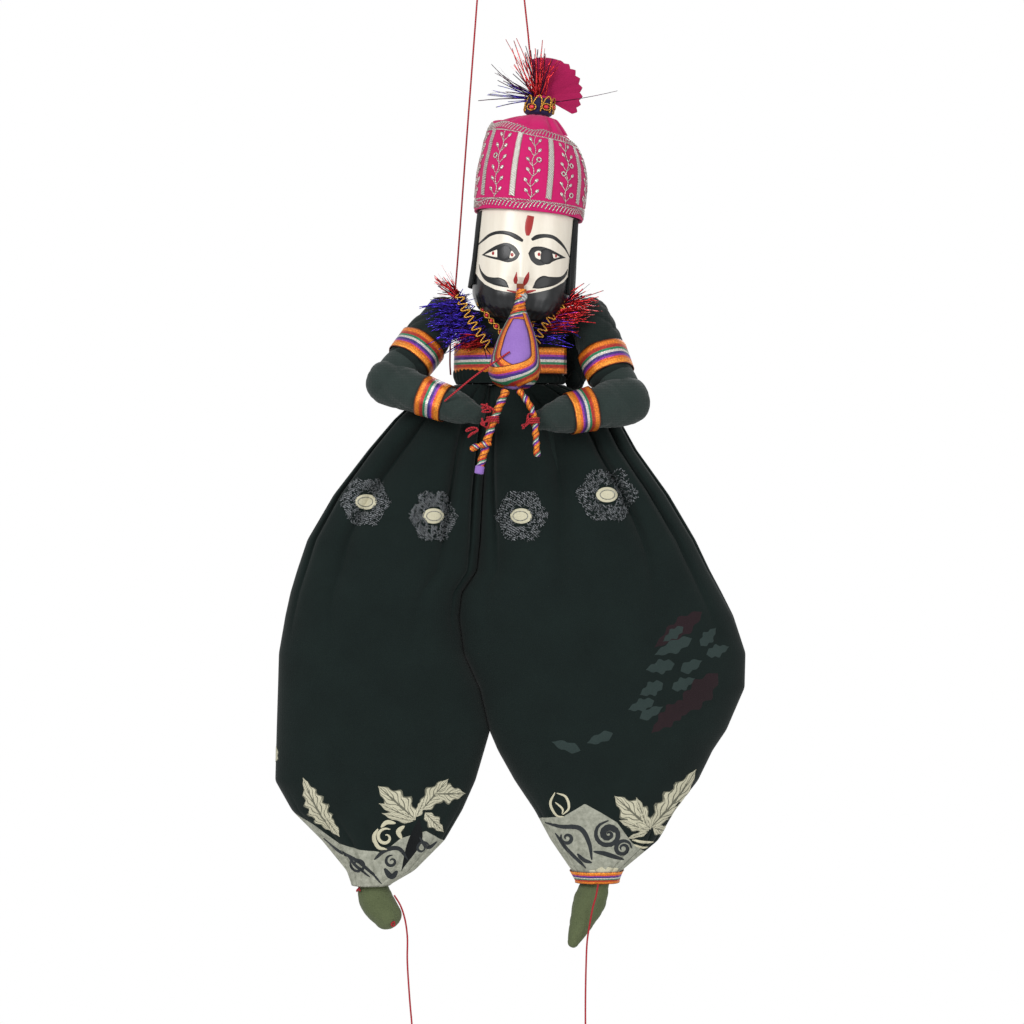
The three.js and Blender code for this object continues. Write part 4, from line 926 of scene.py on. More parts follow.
def band_embroidery():
    """Stripes are one thread laid to and fro; borders are a thread looped like a running hand; vines are a
    waved stem with a leaf or a ring sequin on each side at every node."""
    spacing = BAND_LENGTH[-1] / BAND_STRIPES
    t = np.linspace(0, 1, 620)
    stripe = np.stack([np.stack([
        (k + 0.5) * spacing + 1.9 * np.sign(np.sin(TURN * 41 * t)) * np.abs(np.sin(TURN * 41 * t)) ** 0.5,
        84.5 + 43 * t], -1) for k in range(BAND_STRIPES)])
    stitched("silver_stripes", stripe, 0.38, 5, out=0.25)
    for name, foot, reach in (("border_foot", 79.4, 2.3), ("border_head", 130.2, 2.1)):
        loops = 92
        t = np.linspace(0, 1, loops * 16)
        along = BAND_LENGTH[-1] * t
        slant = 1.5 * np.sin(TURN * loops * t + 1.1)
        wander = 0.7 * np.sin(TURN * 7 * t) + 0.4 * np.sin(TURN * 13 * t)
        path = np.stack([along + slant, foot + wander + reach * np.cos(TURN * loops * t)], -1)
        stitched(f"silver_{name}", path, 0.27, 5)
        line = np.stack([along, foot + (2.9 if foot < 100 else -2.9) + 0.35 * np.sin(TURN * 150 * t)], -1)
        stitched(f"silver_{name}_line", line, 0.25, 5)
    stems, leaves, rings = [], [], []
    for k in range(BAND_STRIPES):
        t = np.linspace(0, 1, 90)
        bend = 0.9 * np.sin(TURN * 3 * t + 2 * k)
        stems.append(np.stack([k * spacing + bend, 83 + 44 * t], -1))
        for n in range(VINE_NODES):
            h = 84.5 + 7.1 * n
            bend_here = 0.9 * math.sin(TURN * 3 * (h - 83) / 44 + 2 * k)
            for way in (-1, 1):
                tip = (k * spacing + bend_here + way * 4.0, h + 4.6)
                (rings if DICE.random() < 0.24 else leaves).append((k * spacing + bend_here, h, *tip))
    stitched("silver_vine_stems", np.stack(stems), 0.26, 5)
    twig = np.array(leaves + rings)
    s = np.linspace(0, 0.72, 8)[None, :]
    stalk = np.stack([twig[:, 0:1] + (twig[:, 2:3] - twig[:, 0:1]) * s,
                      twig[:, 1:2] + (twig[:, 3:4] - twig[:, 1:2]) * s ** 1.3], -1)
    stitched("silver_vine_stalks", stalk, 0.22, 5)
    leaf = np.array(leaves)
    s, t = np.meshgrid(np.linspace(0, 1, 9), TURN * np.arange(8) / 8, indexing="ij")
    aim = unit(leaf[:, 2:4] - leaf[:, 0:2])
    cross = np.stack([-aim[:, 1], aim[:, 0]], -1)
    half = 1.15 * np.sin(math.pi * np.clip(s, 0.02, 0.98)) ** 0.8
    at = (leaf[:, None, None, 2:4] + (3.4 * (s - 0.62))[None, ..., None] * aim[:, None, None]
          + (half * np.cos(t))[None, ..., None] * cross[:, None, None])
    blades = surface("silver_leaves", on_band(at[..., 0], at[..., 1], 0.35 + 0.45 * half * np.sin(t)),
                     wrap=(False, True), caps=True, size=(1, 3))
    dress(blades, SILVER, "bust")
    ring = np.array(rings)
    a, b = np.meshgrid(TURN * np.arange(18) / 18, TURN * np.arange(6) / 6, indexing="ij")
    reach = 1.45 + 0.5 * np.cos(b)
    sequins = surface("ring_sequins", on_band(ring[:, 2, None, None] + reach * np.cos(a),
                      ring[:, 3, None, None] + reach * np.sin(a), 0.7 + 0.3 * np.sin(b)),
                      wrap=(True, True), size=(8, 2))
    dress(sequins, SILVER, "bust")


def turban_crown():
    """Plain cloth above the band, drawn into its binding: ovals that shrink up the head, with folds that
    deepen towards the neck."""
    turn = TURN * np.arange(220) / 220
    s = np.linspace(0, 1, 70)[:, None]
    h = 131.5 + 27 * np.clip(s * 1.06 - 0.06, 0, 1)
    wide = np.where(s < 0.5, np.cos(np.clip(s, 0, 0.5) * 2 * math.pi / 2.35), 0)
    neck = 6.4 / 25.5
    share = np.where(s < 0.5, neck + (1 - neck) * np.clip(wide, 0, 1) ** 0.8, neck)
    share = np.convolve(share[:, 0], np.hanning(9) / np.hanning(9).sum(), mode="same")[:, None]
    share[:4], share[-4:] = 1.0, neck
    folds = 0.5 + 0.5 * np.cos(turn * 11 + 1.2 * np.sin(turn * 2))[None, :]
    depth = 2.6 * np.sin(math.pi * np.clip(s / 0.62, 0, 1)) * folds ** 3
    right = np.clip(-np.cos(turn), 0, 1)[None, :]
    full = np.clip((share - 0.55) / 0.45, 0, 1)
    more = 4.5 * right * full
    u, y = oval(turn[None, :], share * 24.6 - depth + more, share * 26 - depth + more, 2.1)
    rise = -4 * (1 - np.clip(s * 9, 0, 1)) - 4.5 * np.cos(turn)[None,
        :] * full + 0.9 * np.sin(turn * 3 + 0.6)[None, :] * np.sin(math.pi * np.clip(s / 0.5, 0, 1))
    piece = surface("turban_crown_cloth", lean(u, y, h + rise), wrap=(False, True), caps=True,
        size=(160, 40))
    dress(piece, CLOTH["pink"], "bust", ["turban_crown"])


def tuft_binding():
    """Dark ribbon wound round the neck of the turban, gold braid looped over it, and a red glass bead."""
    turns = np.linspace(0, 1, 46)[:, None]
    around = TURN * np.arange(60) / 60
    radius = 9.2 + 0.5 * np.abs(np.sin(math.pi * 4 * turns + 0.5 * np.sin(around)))
    radius = radius - 2.3 * (np.abs(2 * turns - 1) ** 8)
    wall = lean(radius * np.cos(around), radius * np.sin(around), BINDING_FOOT + 12 * turns + 0 * around)
    piece = surface("tuft_binding_wrap", wall, wrap=(False, True), size=(60, 14))
    thicken(piece, 0.6, -1)
    dress(piece, CLOTH["navy"], "bust", ["tuft_binding"])
    t = np.linspace(0, 1, 420)
    around = TURN * t - 2.4
    loops = 9
    lift = BINDING_FOOT + 7.5 + 5.4 * np.cos(TURN * loops * t)
    out = 10.1 + 0.5 * np.sin(TURN * loops * 2 * t)
    swing = around + 0.16 * np.sin(TURN * loops * t + 0.7)
    cord = lean(out * np.cos(swing), out * np.sin(swing), lift)
    dress(tube("binding_gold_loops", cord, 0.5, 7, up=(0.1, 0.2, 1)), GOLD, "bust")
    for k, (angle, h) in enumerate(((-62, 5.5), (-118, 4.6), (-20, 6.5))):
        a = math.radians(angle)
        t = np.linspace(0, TURN, 41)[:-1]
        across, up = 3.4 * np.cos(t), 2.2 * np.sin(t)
        ring = lean(10.8 * math.cos(a) - across * math.sin(a), 10.8 * math.sin(a) + across * math.cos(a),
                    BINDING_FOOT + h + up)
        rings = sweep(np.concatenate([ring[-1:], ring, ring[:1]]), 0.45, 7, up=(0.1, 1, 0.2))[1:-1]
        frame_piece = surface(f"binding_gold_eye_{k + 1}", rings, wrap=(True, True), size=(1, 18))
        dress(frame_piece, GOLD, "bust")
        r, b = np.meshgrid(np.linspace(0.02, math.pi - 0.02, 12), TURN * np.arange(16) / 16, indexing="ij")
        x, y, z = 1.9 * np.sin(r) * np.cos(b), 1.1 * np.cos(r), 1.4 * np.sin(r) * np.sin(b)
        bead = lean((10.6 + y) * math.cos(a) - x * math.sin(a), (10.6 + y) * math.sin(a) + x * math.cos(a),
                    BINDING_FOOT + h + z)
        dress(surface(f"binding_bead_{k + 1}", bead, wrap=(False, True), caps=True), GLASS, "bust")


def turban_fan():
    """The pinked end of the turban cloth: a fan from the binding, its radius notched along the far edge,
    bowed forward and folded along a few rays. Its cloth is the turban's pink painted darker: painted shade."""
    r = np.linspace(0.04, 1, 40)[:, None]
    t = np.linspace(0, 1, 181)[None, :]
    angle = np.radians(-24 + 132 * t)
    tooth = np.abs(np.mod(t * 11 + 0.5, 1) * 2 - 1)
    edge = 26.5 + 3 * np.sin(math.pi * t) + 2.2 * (tooth - 0.5) * np.clip((0.72 - t) * 6, 0, 1)
    bow = 2 + 2.2 * np.sin(angle * 5 + 1) * r + 3.0 * r ** 2
    u, h = edge * r * np.cos(angle), CROWN_TOP + 1.3 + edge * r * np.sin(angle) * 0.98
    piece = surface("turban_fan_cloth", lean(u, bow, h), facing=(0, -1, 0), size=(40, 28))
    thicken(piece, 0.7, 0)
    dress(piece, CLOTH["fan"], "bust", ["turban_fan"])


def strands(name, roots, aims, lengths, material, body="bust", width=0.42, droop=0.0):
    """Foil strands: thin flat strips that leave their roots along their aims, bend a little on the way, and
    are turned by chance about their length."""
    count = len(roots)
    s = np.linspace(0, 1, 7)[None, :, None]
    sway = DICE.normal(0, 0.09, (count, 1, 3)) * np.asarray(lengths)[:, None, None]
    path = roots[:, None] + unit(aims)[:, None] * s * np.asarray(lengths)[:, None, None] + sway * s ** 2
    path[..., 2] -= droop * (s[..., 0] * np.asarray(lengths)[:, None] / 10) ** 2
    rings = sweep(path, width * np.linspace(1, 0.55, 7), 4, up=(0.13, 0.31, 0.94), flat=0.14,
                  roll=DICE.uniform(0, math.pi, count))
    piece = surface(name, rings, wrap=(False, True), caps=True, size=(1, 20))
    return dress(piece, FOIL[material], body)


def tuft_tinsel():
    """Foil strands bound into the tuft: red and dark ones upright, blue ones to the puppet's right."""
    sprays = [("red", 34, 62, 118, 24, 36, 0), ("dark", 26, 70, 160, 22, 36, 0),
        ("blue", 10, 150, 186, 24, 36, 0),
              ("dark", 10, 148, 178, 26, 38, 1), ("red", 12, 100, 128, 28, 40, 1)]
    for kind, count, low, high, short, long, number in sprays:
        angle = np.radians(DICE.uniform(low, high, count))
        tilt = DICE.normal(-0.12, 0.16, count)
        foot = np.stack([DICE.normal(-1, 2.6, count), DICE.normal(-2.5, 1.6, count),
                         np.full(count, CROWN_TOP - 2.0)], -1)
        aims = np.stack([np.cos(angle), tilt, np.sin(angle)], -1)
        roots = lean(foot[:, 0], foot[:, 1], foot[:, 2])
        stands = ["tuft_tinsel"] if (kind, number) == ("red", 0) else []
        piece = strands(f"tuft_{kind}_strands_{number + 1}", roots, aims, DICE.uniform(short, long, count),
            kind,
                        width=0.5)
        if stands:
            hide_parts(*stands)
    root = lean(np.array([9.0]), np.array([-3.0]), np.array([CROWN_TOP - 3]))
    strands("tuft_lone_wire", root, np.array([[0.985, -0.05, 0.1]]), [44], "dark", width=0.3)


def hair_hood():
    """Black cloth that hangs as hair behind the face, open at the front, rippled by shallow folds."""
    s = np.linspace(0, 1, 60)[:, None]
    h = 23.5 + 51 * s
    turn = np.radians(np.linspace(-29, 204, 180))[None, :]
    flare = 1.5 * (1 - s) + 0.45 * (1 - s) * np.sin(turn * 17) + 0.3 * np.sin(turn * 9 + 5 * s)
    u, y = oval(turn, 35.1 + flare, 37 + flare, HEAD_POWER)
    piece = surface("hair_hood_cloth", lean(u, y, h + 0.6 * np.sin(turn * 6) * (1 - s)), size=(200, 51))
    thicken(piece, 1.4, -1)
    dress(piece, CLOTH["hair"], "bust", ["hair_hood"])


turban_band()
band_embroidery()
turban_crown()
tuft_binding()
turban_fan()
tuft_tinsel()
hair_hood()

# ---- Stuffed cloth ------------------------------------------------------------------------------


def creases(along, turn, seed, depth, around=2):
    """Inward creases in millimetres: the mean of five slanting waves, each sharp where it folds in."""
    dice = np.random.default_rng(seed)
    total = 0
    for _ in range(5):
        wave = along * dice.uniform(0.05, 0.2) + turn * dice.integers(-around, around + 1) + dice.uniform(0,
            TURN)
        total = total + (1 - np.abs(np.sin(wave))) ** 3 / 5
    return -depth * total * 2


def limb_rings(stations, start=0.0, end=1.0, rows=60, sides=64, out=0.0):
    """Rings between two shares of a smooth line through stations of (x, y, z, radius), and the line."""
    line = smooth(stations, 240)
    at = np.linspace(start, end, rows) * 239
    path = np.stack([np.interp(at, np.arange(240), column) for column in line.T], -1)
    return sweep(path[:, :3], path[:, 3] + out, sides, up=(0.03, 1, 0.02)), path


def stuffed(name, stations, material, body, nodes=(), seed=1, depth=1.2, blunt=(0.8, 0.8)):
    """A stuffed tube: rings along its stations, closed by domes whose height is a share of the end radius,
    with creases pressed in."""
    line = smooth(stations, 90)
    bend = np.linspace(math.pi / 2, 0, 12)[:-1]
    first, last = line[0], line[-1]
    way = unit(line[1, :3] - first[:3]), unit(last[:3] - line[-2, :3])
    head = np.column_stack([first[:3] - way[0] * (blunt[0] * first[3] * np.sin(bend))[:, None],
                            first[3] * np.cos(bend) ** 0.8])
    tail = np.column_stack([last[:3] + way[1] * (blunt[1] * last[3] * np.sin(bend))[:, None],
                            last[3] * np.cos(bend) ** 0.8])[::-1]
    path = np.concatenate([head, line, tail])
    path[:, 3] = np.clip(path[:, 3], 0.3, None)
    rings = sweep(path[:, :3], path[:, 3], 72, up=(0.03, 1, 0.02))
    along = np.concatenate([[0], np.cumsum(np.linalg.norm(np.diff(path[:, :3], axis=0), axis=1))])[:, None]
    pressed = creases(along, TURN * np.arange(72) / 72, seed, depth) / np.maximum(path[:, 3:], 3)
    middle = path[:, None, :3]
    piece = surface(name, middle + (rings - middle) * (1 + pressed)[..., None], wrap=(False, True),
        caps=True,
                    size=(90, 90))
    dress(piece, material, body, nodes)
    return piece


def band(name, rings, body, nodes=(), wall=0.5, ripple=0.25):
    """Trimming ribbon round a piece: rings across its width, joined round and given a thin wall."""
    count = rings.shape[1]
    wave = ripple * np.sin(np.linspace(0, TURN * 6, count, endpoint=False))
    away = unit(rings - rings.mean(1, keepdims=True))
    grid = (rings + away * wave[None, :, None]).swapaxes(0, 1)
    girth = float(np.linalg.norm(np.diff(rings[0], axis=0), axis=1).sum())
    piece = surface(name, grid, wrap=(True, False), size=(1.0, girth))
    thicken(piece, wall, 1)
    return dress(piece, RIBBON, body, nodes)


# ---- Bodice -------------------------------------------------------------------------------------

BODICE_PROFILE = [  # height, half-width, half-depth
    (388.3, 36, 20), (400, 37.5, 21), (414, 37, 21), (423, 34, 19), (426, 27, 15.5), (430, 22, 14),
]


def torso_ring(z, turn, out=0.0):
    """A point of the bodice's outside, leaned with the neck."""
    x, y = oval(turn, read(BODICE_PROFILE, z, 1) + out, read(BODICE_PROFILE, z, 2) + out, 2.4)
    lean_x = 5.5 * np.clip(z - 414, 0, None) / 15
    return np.stack(np.broadcast_arrays(x + lean_x, y + TORSO_Y, z), -1)


def bodice():
    """Padded dark bodice, its shoulders a stuffed yoke that runs into both sleeves, its foot gathered into a
    tie; a ribbon is wound round the chest."""
    turn = TURN * np.arange(160)[None, :] / 160
    z = np.linspace(388.5, 430, 60)[:, None]
    piece = surface("bodice_cloth", torso_ring(z, turn, creases(z, turn, 5, 1.6, 5)), wrap=(False, True),
                    size=(200, 40))
    thicken(piece, 1.0, -1)
    dress(piece, CLOTH["bodice"], "bust", ["bodice"])
    yoke = [(-41, 1, 434, 9), (-24, 3, 430, 10), (5.5, 3, 425, 10), (34, 3, 430, 10), (50, 1, 434, 9)]
    stuffed("bodice_yoke", yoke, CLOTH["bodice"], "bust", seed=8, depth=1.5)
    side_fold = [(43, 9, 430, 8), (46, 9, 410, 9), (45, 8, 391, 8)]
    stuffed("bodice_side_fold", side_fold, CLOTH["bodice"], "bust", seed=14, depth=2.0)
    turn = TURN * np.arange(180)[None, :] / 180
    z = np.linspace(395.3, 412.7, 9)[:, None]
    band("chest_ribbon_band", torso_ring(z, turn, 0.9), "bust", ["chest_ribbon"])
    folded = [(14.5 + 24 * t, -19.9 + 8.4 * t ** 3, 0) for t in np.linspace(0, 1, 14)]
    grid = np.stack([np.stack([x, y, z], -1) for x, y in [(p[0], p[1]) for p in folded]
                     for z in np.linspace(394.6, 413, 9)]).reshape(14, 9, 3)
    end = surface("chest_ribbon_end", grid, facing=(0, -1, 0), size=(1.0, 24))
    thicken(end, 0.6, 1)
    dress(end, RIBBON, "bust")
    rise = np.linspace(0, 1, 16)[:, None]
    swell = np.sin(math.pi * rise)
    top = 394.5 + 7.5 * np.clip(-np.cos(turn), 0, 1) ** 0.7
    pleat = 0.9 * np.abs(np.sin(turn * 22 + 2 * np.sin(turn * 3)))
    z = 388.4 + (top - 388.4) * rise + 0 * turn
    x, y = oval(turn, 37.2 + 2.2 * swell - pleat * swell, 21.2 + 2.2 * swell - pleat * swell, 2.4)
    tie = surface("waist_tie_gathered", np.stack([x, y + TORSO_Y, z], -1), wrap=(False, True),
        size=(220, 9))
    thicken(tie, 0.8, -1)
    dress(tie, VOILE, "bust", ["waist_tie"])


BRAID = {
    "right": [(-35, -13.5, 449), (-30.5, -17.5, 438), (-22.5, -21.8, 424), (-14.5, -23.4, 413)],
    "left": [(37.5, -14.5, 443.5), (28.5, -19, 433), (22, -22, 424), (17.5, -23.2, 415.5)],
}
BEADS = {
    "right": [(-22, -15.5, 445), (-15.5, -20.5, 434), (-7, -23.5, 424), (-2, -24, 416)],
    "left": [(21.5, -16.5, 437.5), (16.5, -20.5, 431), (12, -23.5, 424), (7, -24, 417)],
}


def garland(side):
    """One side of the garland: a gold braid that meanders along its line over bound tinsel, a string of red
    beads between two crossing gold wires, and foil strands that sweep out over the sleeve."""
    way = -1 if side == "right" else 1
    line = smooth(BRAID[side], 400)
    along = unit(np.gradient(line, axis=0))
    across = unit(np.cross(along, (0, -1, 0)))
    length = float(np.linalg.norm(np.diff(line, axis=0), axis=1).sum())
    beat = TURN * np.linspace(0, length / 5.2, 400)[:, None]
    meander = line + 2.9 * np.tanh(2.6 * np.sin(beat)) / np.tanh(2.6) * across
    meander = meander + 0.55 * np.sin(2 * beat) * along + np.array([0, -4.6, 0])
    dress(tube(f"gold_braid_{side}", meander, 0.56, 7, up=(0, 1, 0.05)), GOLD, "bust",
          [f"braid_{side}"])
    line = smooth(BEADS[side], 240)
    along = unit(np.gradient(line, axis=0))
    across = unit(np.cross(along, (0, -1, 0)))
    length = float(np.linalg.norm(np.diff(line, axis=0), axis=1).sum())
    count = max(3, round(length / 5.6))
    beat = math.pi * np.linspace(0, count, 240)[:, None]
    wires = np.stack([line + sign * 1.7 * np.sin(beat) * across + sign * 0.3 * np.cos(beat) * (0, 1, 0)
                      for sign in (-1, 1)])
    dress(tube(f"bead_chain_wires_{side}", wires, 0.4, 6, up=(0, 1, 0.05)), GOLD, "bust",
          [f"bead_chain_{side}"])
    centre = line[((np.arange(count) + 0.5) / count * 239).astype(int)]
    a, b = np.meshgrid(np.linspace(0.05, math.pi - 0.05, 9), TURN * np.arange(12) / 12, indexing="ij")
    ball = np.stack([np.sin(a) * np.cos(b), np.sin(a) * np.sin(b), np.cos(a)], -1) * (1.15, 1.0, 1.35)
    beads = surface(f"red_beads_{side}", centre[:, None, None] + ball, wrap=(False, True), caps=True)
    dress(beads, GLASS, "bust")
    line = smooth(BRAID[side], 200)

    def spray(kind, number, low, high, aim, spread, short, long, droop=0.0, back=0.0):
        """Strands rooted between two shares of the braid's line, aimed within a spread of degrees."""
        roots = line[DICE.integers(int(low * 199), int(high * 199) + 1, number)].copy()
        roots += DICE.normal(0, 1, (number, 3)) * (1.2, 0.5, 1.2) + (0, -0.7 + back, 0)
        angle = np.radians(DICE.normal(aim, spread, number))
        aims = np.stack([way * np.cos(angle), DICE.normal(-0.36, 0.08, number), np.sin(angle)], -1)
        sprays.append(strands(f"garland_{side}_{kind}_strands_{len(sprays) + 1}", roots, aims,
                              DICE.uniform(short, long, number), kind, width=0.5, droop=droop))

    sprays = []

    if side == "right":
        spray("blue", 150, 0.12, 0.8, -8, 13, 15, 30, 0.4)
        spray("dark", 40, 0.1, 0.8, -14, 20, 10, 22, 0.5)
        spray("red", 26, 0.75, 1.0, -8, 9, 14, 24, 0.4)
        spray("red", 34, 0.0, 0.08, 38, 16, 12, 24)
        spray("dark", 16, 0.0, 0.1, 18, 22, 12, 22)
        spray("blue", 90, 0.0, 0.9, 150, 70, 4, 9, 0, -0.6)
        spray("dark", 60, 0.0, 1.0, 200, 60, 4, 10, 0, -0.2)
    else:
        spray("red", 80, 0.1, 0.75, 12, 8, 16, 32, 0.3)
        spray("red", 26, 0.0, 0.1, 24, 10, 12, 22)
        spray("dark", 16, 0.0, 0.15, 16, 20, 12, 24)
        spray("blue", 40, 0.4, 1.0, 3, 9, 12, 24, 0.5)
        spray("blue", 80, 0.0, 1.0, 170, 60, 4, 9, 0, -0.4)
        spray("dark", 40, 0.0, 1.0, 190, 60, 4, 9, 0, -0.2)
    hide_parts(f"garland_{side}")


bodice()
for side in SIDES:
    garland(side)

# ---- Arms ---------------------------------------------------------------------------------------

SHOULDER = {"right": (-45, 0, 436), "left": (54.5, 0, 436)}
ELBOW = {"right": (-84, -26, 388.5), "left": (80, -28, 376)}
HAND = {"right": (-23, -46, 366), "left": (20.5, -47, 362)}
SLEEVE_RADIUS = 14.5
ELBOW_RADIUS = {"right": 15.5, "left": 17.0}
HAND_RADIUS = 7.0


def arm(side):
    """A stuffed sleeve from the shoulder with a ribbon at its end, the cloth that joins it to the elbow, and
    a stuffed forearm that tapers to a plain hand, with a ribbon round it."""
    shoulder, elbow, hand = (np.array(m[side], float) for m in (SHOULDER, ELBOW, HAND))
    inward = np.array([4.0 if side == "right" else -4.0, 0, 0])
    sleeve = [(*shoulder, 13.9), (*(shoulder + 0.25 * (elbow - shoulder) + 0.3 * inward), 15.8),
              (*(shoulder + 0.5 * (elbow - shoulder) + 0.7 * inward), 16),
              (*(shoulder + 0.72 * (elbow - shoulder) + 0.9 * inward), 15.6)]
    stuffed(f"sleeve_cloth_{side}", sleeve, CLOTH["sleeve"], f"upper_arm_{side}",
            [f"upper_arm_{side}"], seed=11 + len(side), depth=1.6, blunt=(0.8, 0.3))
    rings, _ = limb_rings(sleeve, 0.6, 0.99, 9, 90, 0.5)
    band(f"arm_band_ribbon_{side}", rings, f"upper_arm_{side}", [f"arm_band_{side}"])
    join = [(*(shoulder + t * (elbow - shoulder) + (1 - t) * inward), r) for t,
        r in ((0.6, 12), (0.82, 13), (0.95, 12))]
    line = smooth(join, 40)
    rings = sweep(line[:, :3], line[:, 3], 64, up=(0.03, 1, 0.02))
    soft = surface(f"elbow_cloth_{side}", rings, wrap=(False, True), caps=True, size=(80, 24))
    dress(soft, CLOTH["arm"], (f"upper_arm_{side}", f"forearm_{side}", tuple(place(join[0][:3])),
                               tuple(place(elbow))))
    radius = ELBOW_RADIUS[side]
    forearm = [(*elbow, radius), (*(elbow + 0.22 * (hand - elbow)), 0.95 * radius),
               (*(elbow + 0.5 * (hand - elbow)), 0.82 * radius),
               (*(elbow + 0.8 * (hand - elbow)), 0.72 * radius), (*hand, HAND_RADIUS)]
    stuffed(f"forearm_cloth_{side}", forearm, CLOTH["arm"], f"forearm_{side}",
            [f"forearm_{side}"], seed=23 + len(side), depth=1.4, blunt=(0.85, 0.9))
    rings, _ = limb_rings(forearm, 0.41, 0.68, 9, 90, 0.3)
    band(f"wrist_band_ribbon_{side}", rings, f"forearm_{side}", [f"wrist_band_{side}"])


for side in SIDES:
    arm(side)

# ---- Pipe ---------------------------------------------------------------------------------------

GOURD_TOP = np.array([6.4, -45.5, 437.0])
GOURD_FOOT = np.array([2.0, -55.0, 383.0])
GOURD_RADIUS = 16.3
GOURD_PROFILE = [  # share along, share of the radius
    (0, 0.2), (0.06, 0.27), (0.16, 0.42), (0.3, 0.64), (0.45, 0.8), (0.6, 0.93), (0.74, 1), (0.84, 0.97),
    (0.92, 0.82), (0.97, 0.58), (1, 0.2),
]
GOURD_AXIS = (GOURD_FOOT - GOURD_TOP) / np.linalg.norm(GOURD_FOOT - GOURD_TOP)
GOURD_LENGTH = float(np.linalg.norm(GOURD_FOOT - GOURD_TOP))
GOURD_FRONT = unit(np.array([0.0, -1.0, 0.0]) + GOURD_AXIS[1] * GOURD_AXIS)
GOURD_SIDE = np.cross(GOURD_AXIS, GOURD_FRONT)
if GOURD_SIDE[0] < 0:
    GOURD_SIDE = -GOURD_SIDE


def on_gourd(turn, share, out=0.0):
    """A point of the gourd at an angle from its front, towards the puppet's left, and a share of its
    length."""
    radius = GOURD_RADIUS * np.interp(share, *np.array(GOURD_PROFILE).T) + out
    ray = np.cos(turn)[..., None] * GOURD_FRONT + np.sin(turn)[..., None] * GOURD_SIDE
    return GOURD_TOP + (np.asarray(share) * GOURD_LENGTH)[..., None] * GOURD_AXIS + radius[..., None] * ray


def wound(piece, pitch):
    """Slants the UV map so that a ribbon's stripes wind round the piece once in each pitch millimetres."""
    layer = piece.data.uv_layers["UVMap"].data
    uv = np.empty(len(layer) * 2, np.float32)
    layer.foreach_get("uv", uv)
    uv[0::2] += uv[1::2] / pitch
    layer.foreach_set("uv", uv)
    return piece


def gourd_ribbon(name, centre, out, nodes=()):
    """Ribbon laid on the gourd: a strip either side of a smooth line of (degrees from the front, share
    along),
    each point then let down onto the gourd."""
    line = smooth([(math.radians(a), s * 3, 0) for a, s in centre], 90)
    middle = on_gourd(line[:, 0], line[:, 1] / 3, out)
    ray = unit(middle - GOURD_TOP - ((middle - GOURD_TOP) @ GOURD_AXIS)[:, None] * GOURD_AXIS)
    across = unit(np.cross(unit(np.gradient(middle, axis=0)), ray))
    w = np.linspace(-0.5, 0.5, 13) * 15.5
    flat = middle[:, None] + w[:, None] * across[:, None]
    rel = flat - GOURD_TOP
    share = np.clip(rel @ GOURD_AXIS / GOURD_LENGTH, 0.02, 0.99)
    turn = np.arctan2(rel @ GOURD_SIDE, rel @ GOURD_FRONT)
    ripple = 0.12 * np.sin(np.linspace(0, 40, 90))[:, None]
    length = float(np.linalg.norm(np.diff(middle, axis=0), axis=1).sum())
    piece = surface(name, on_gourd(turn, share, out + ripple), facing=(0, -1, 0), size=(1.0, length))
    thicken(piece, 0.45, 1)
    return dress(piece, RIBBON, "pungi", nodes)


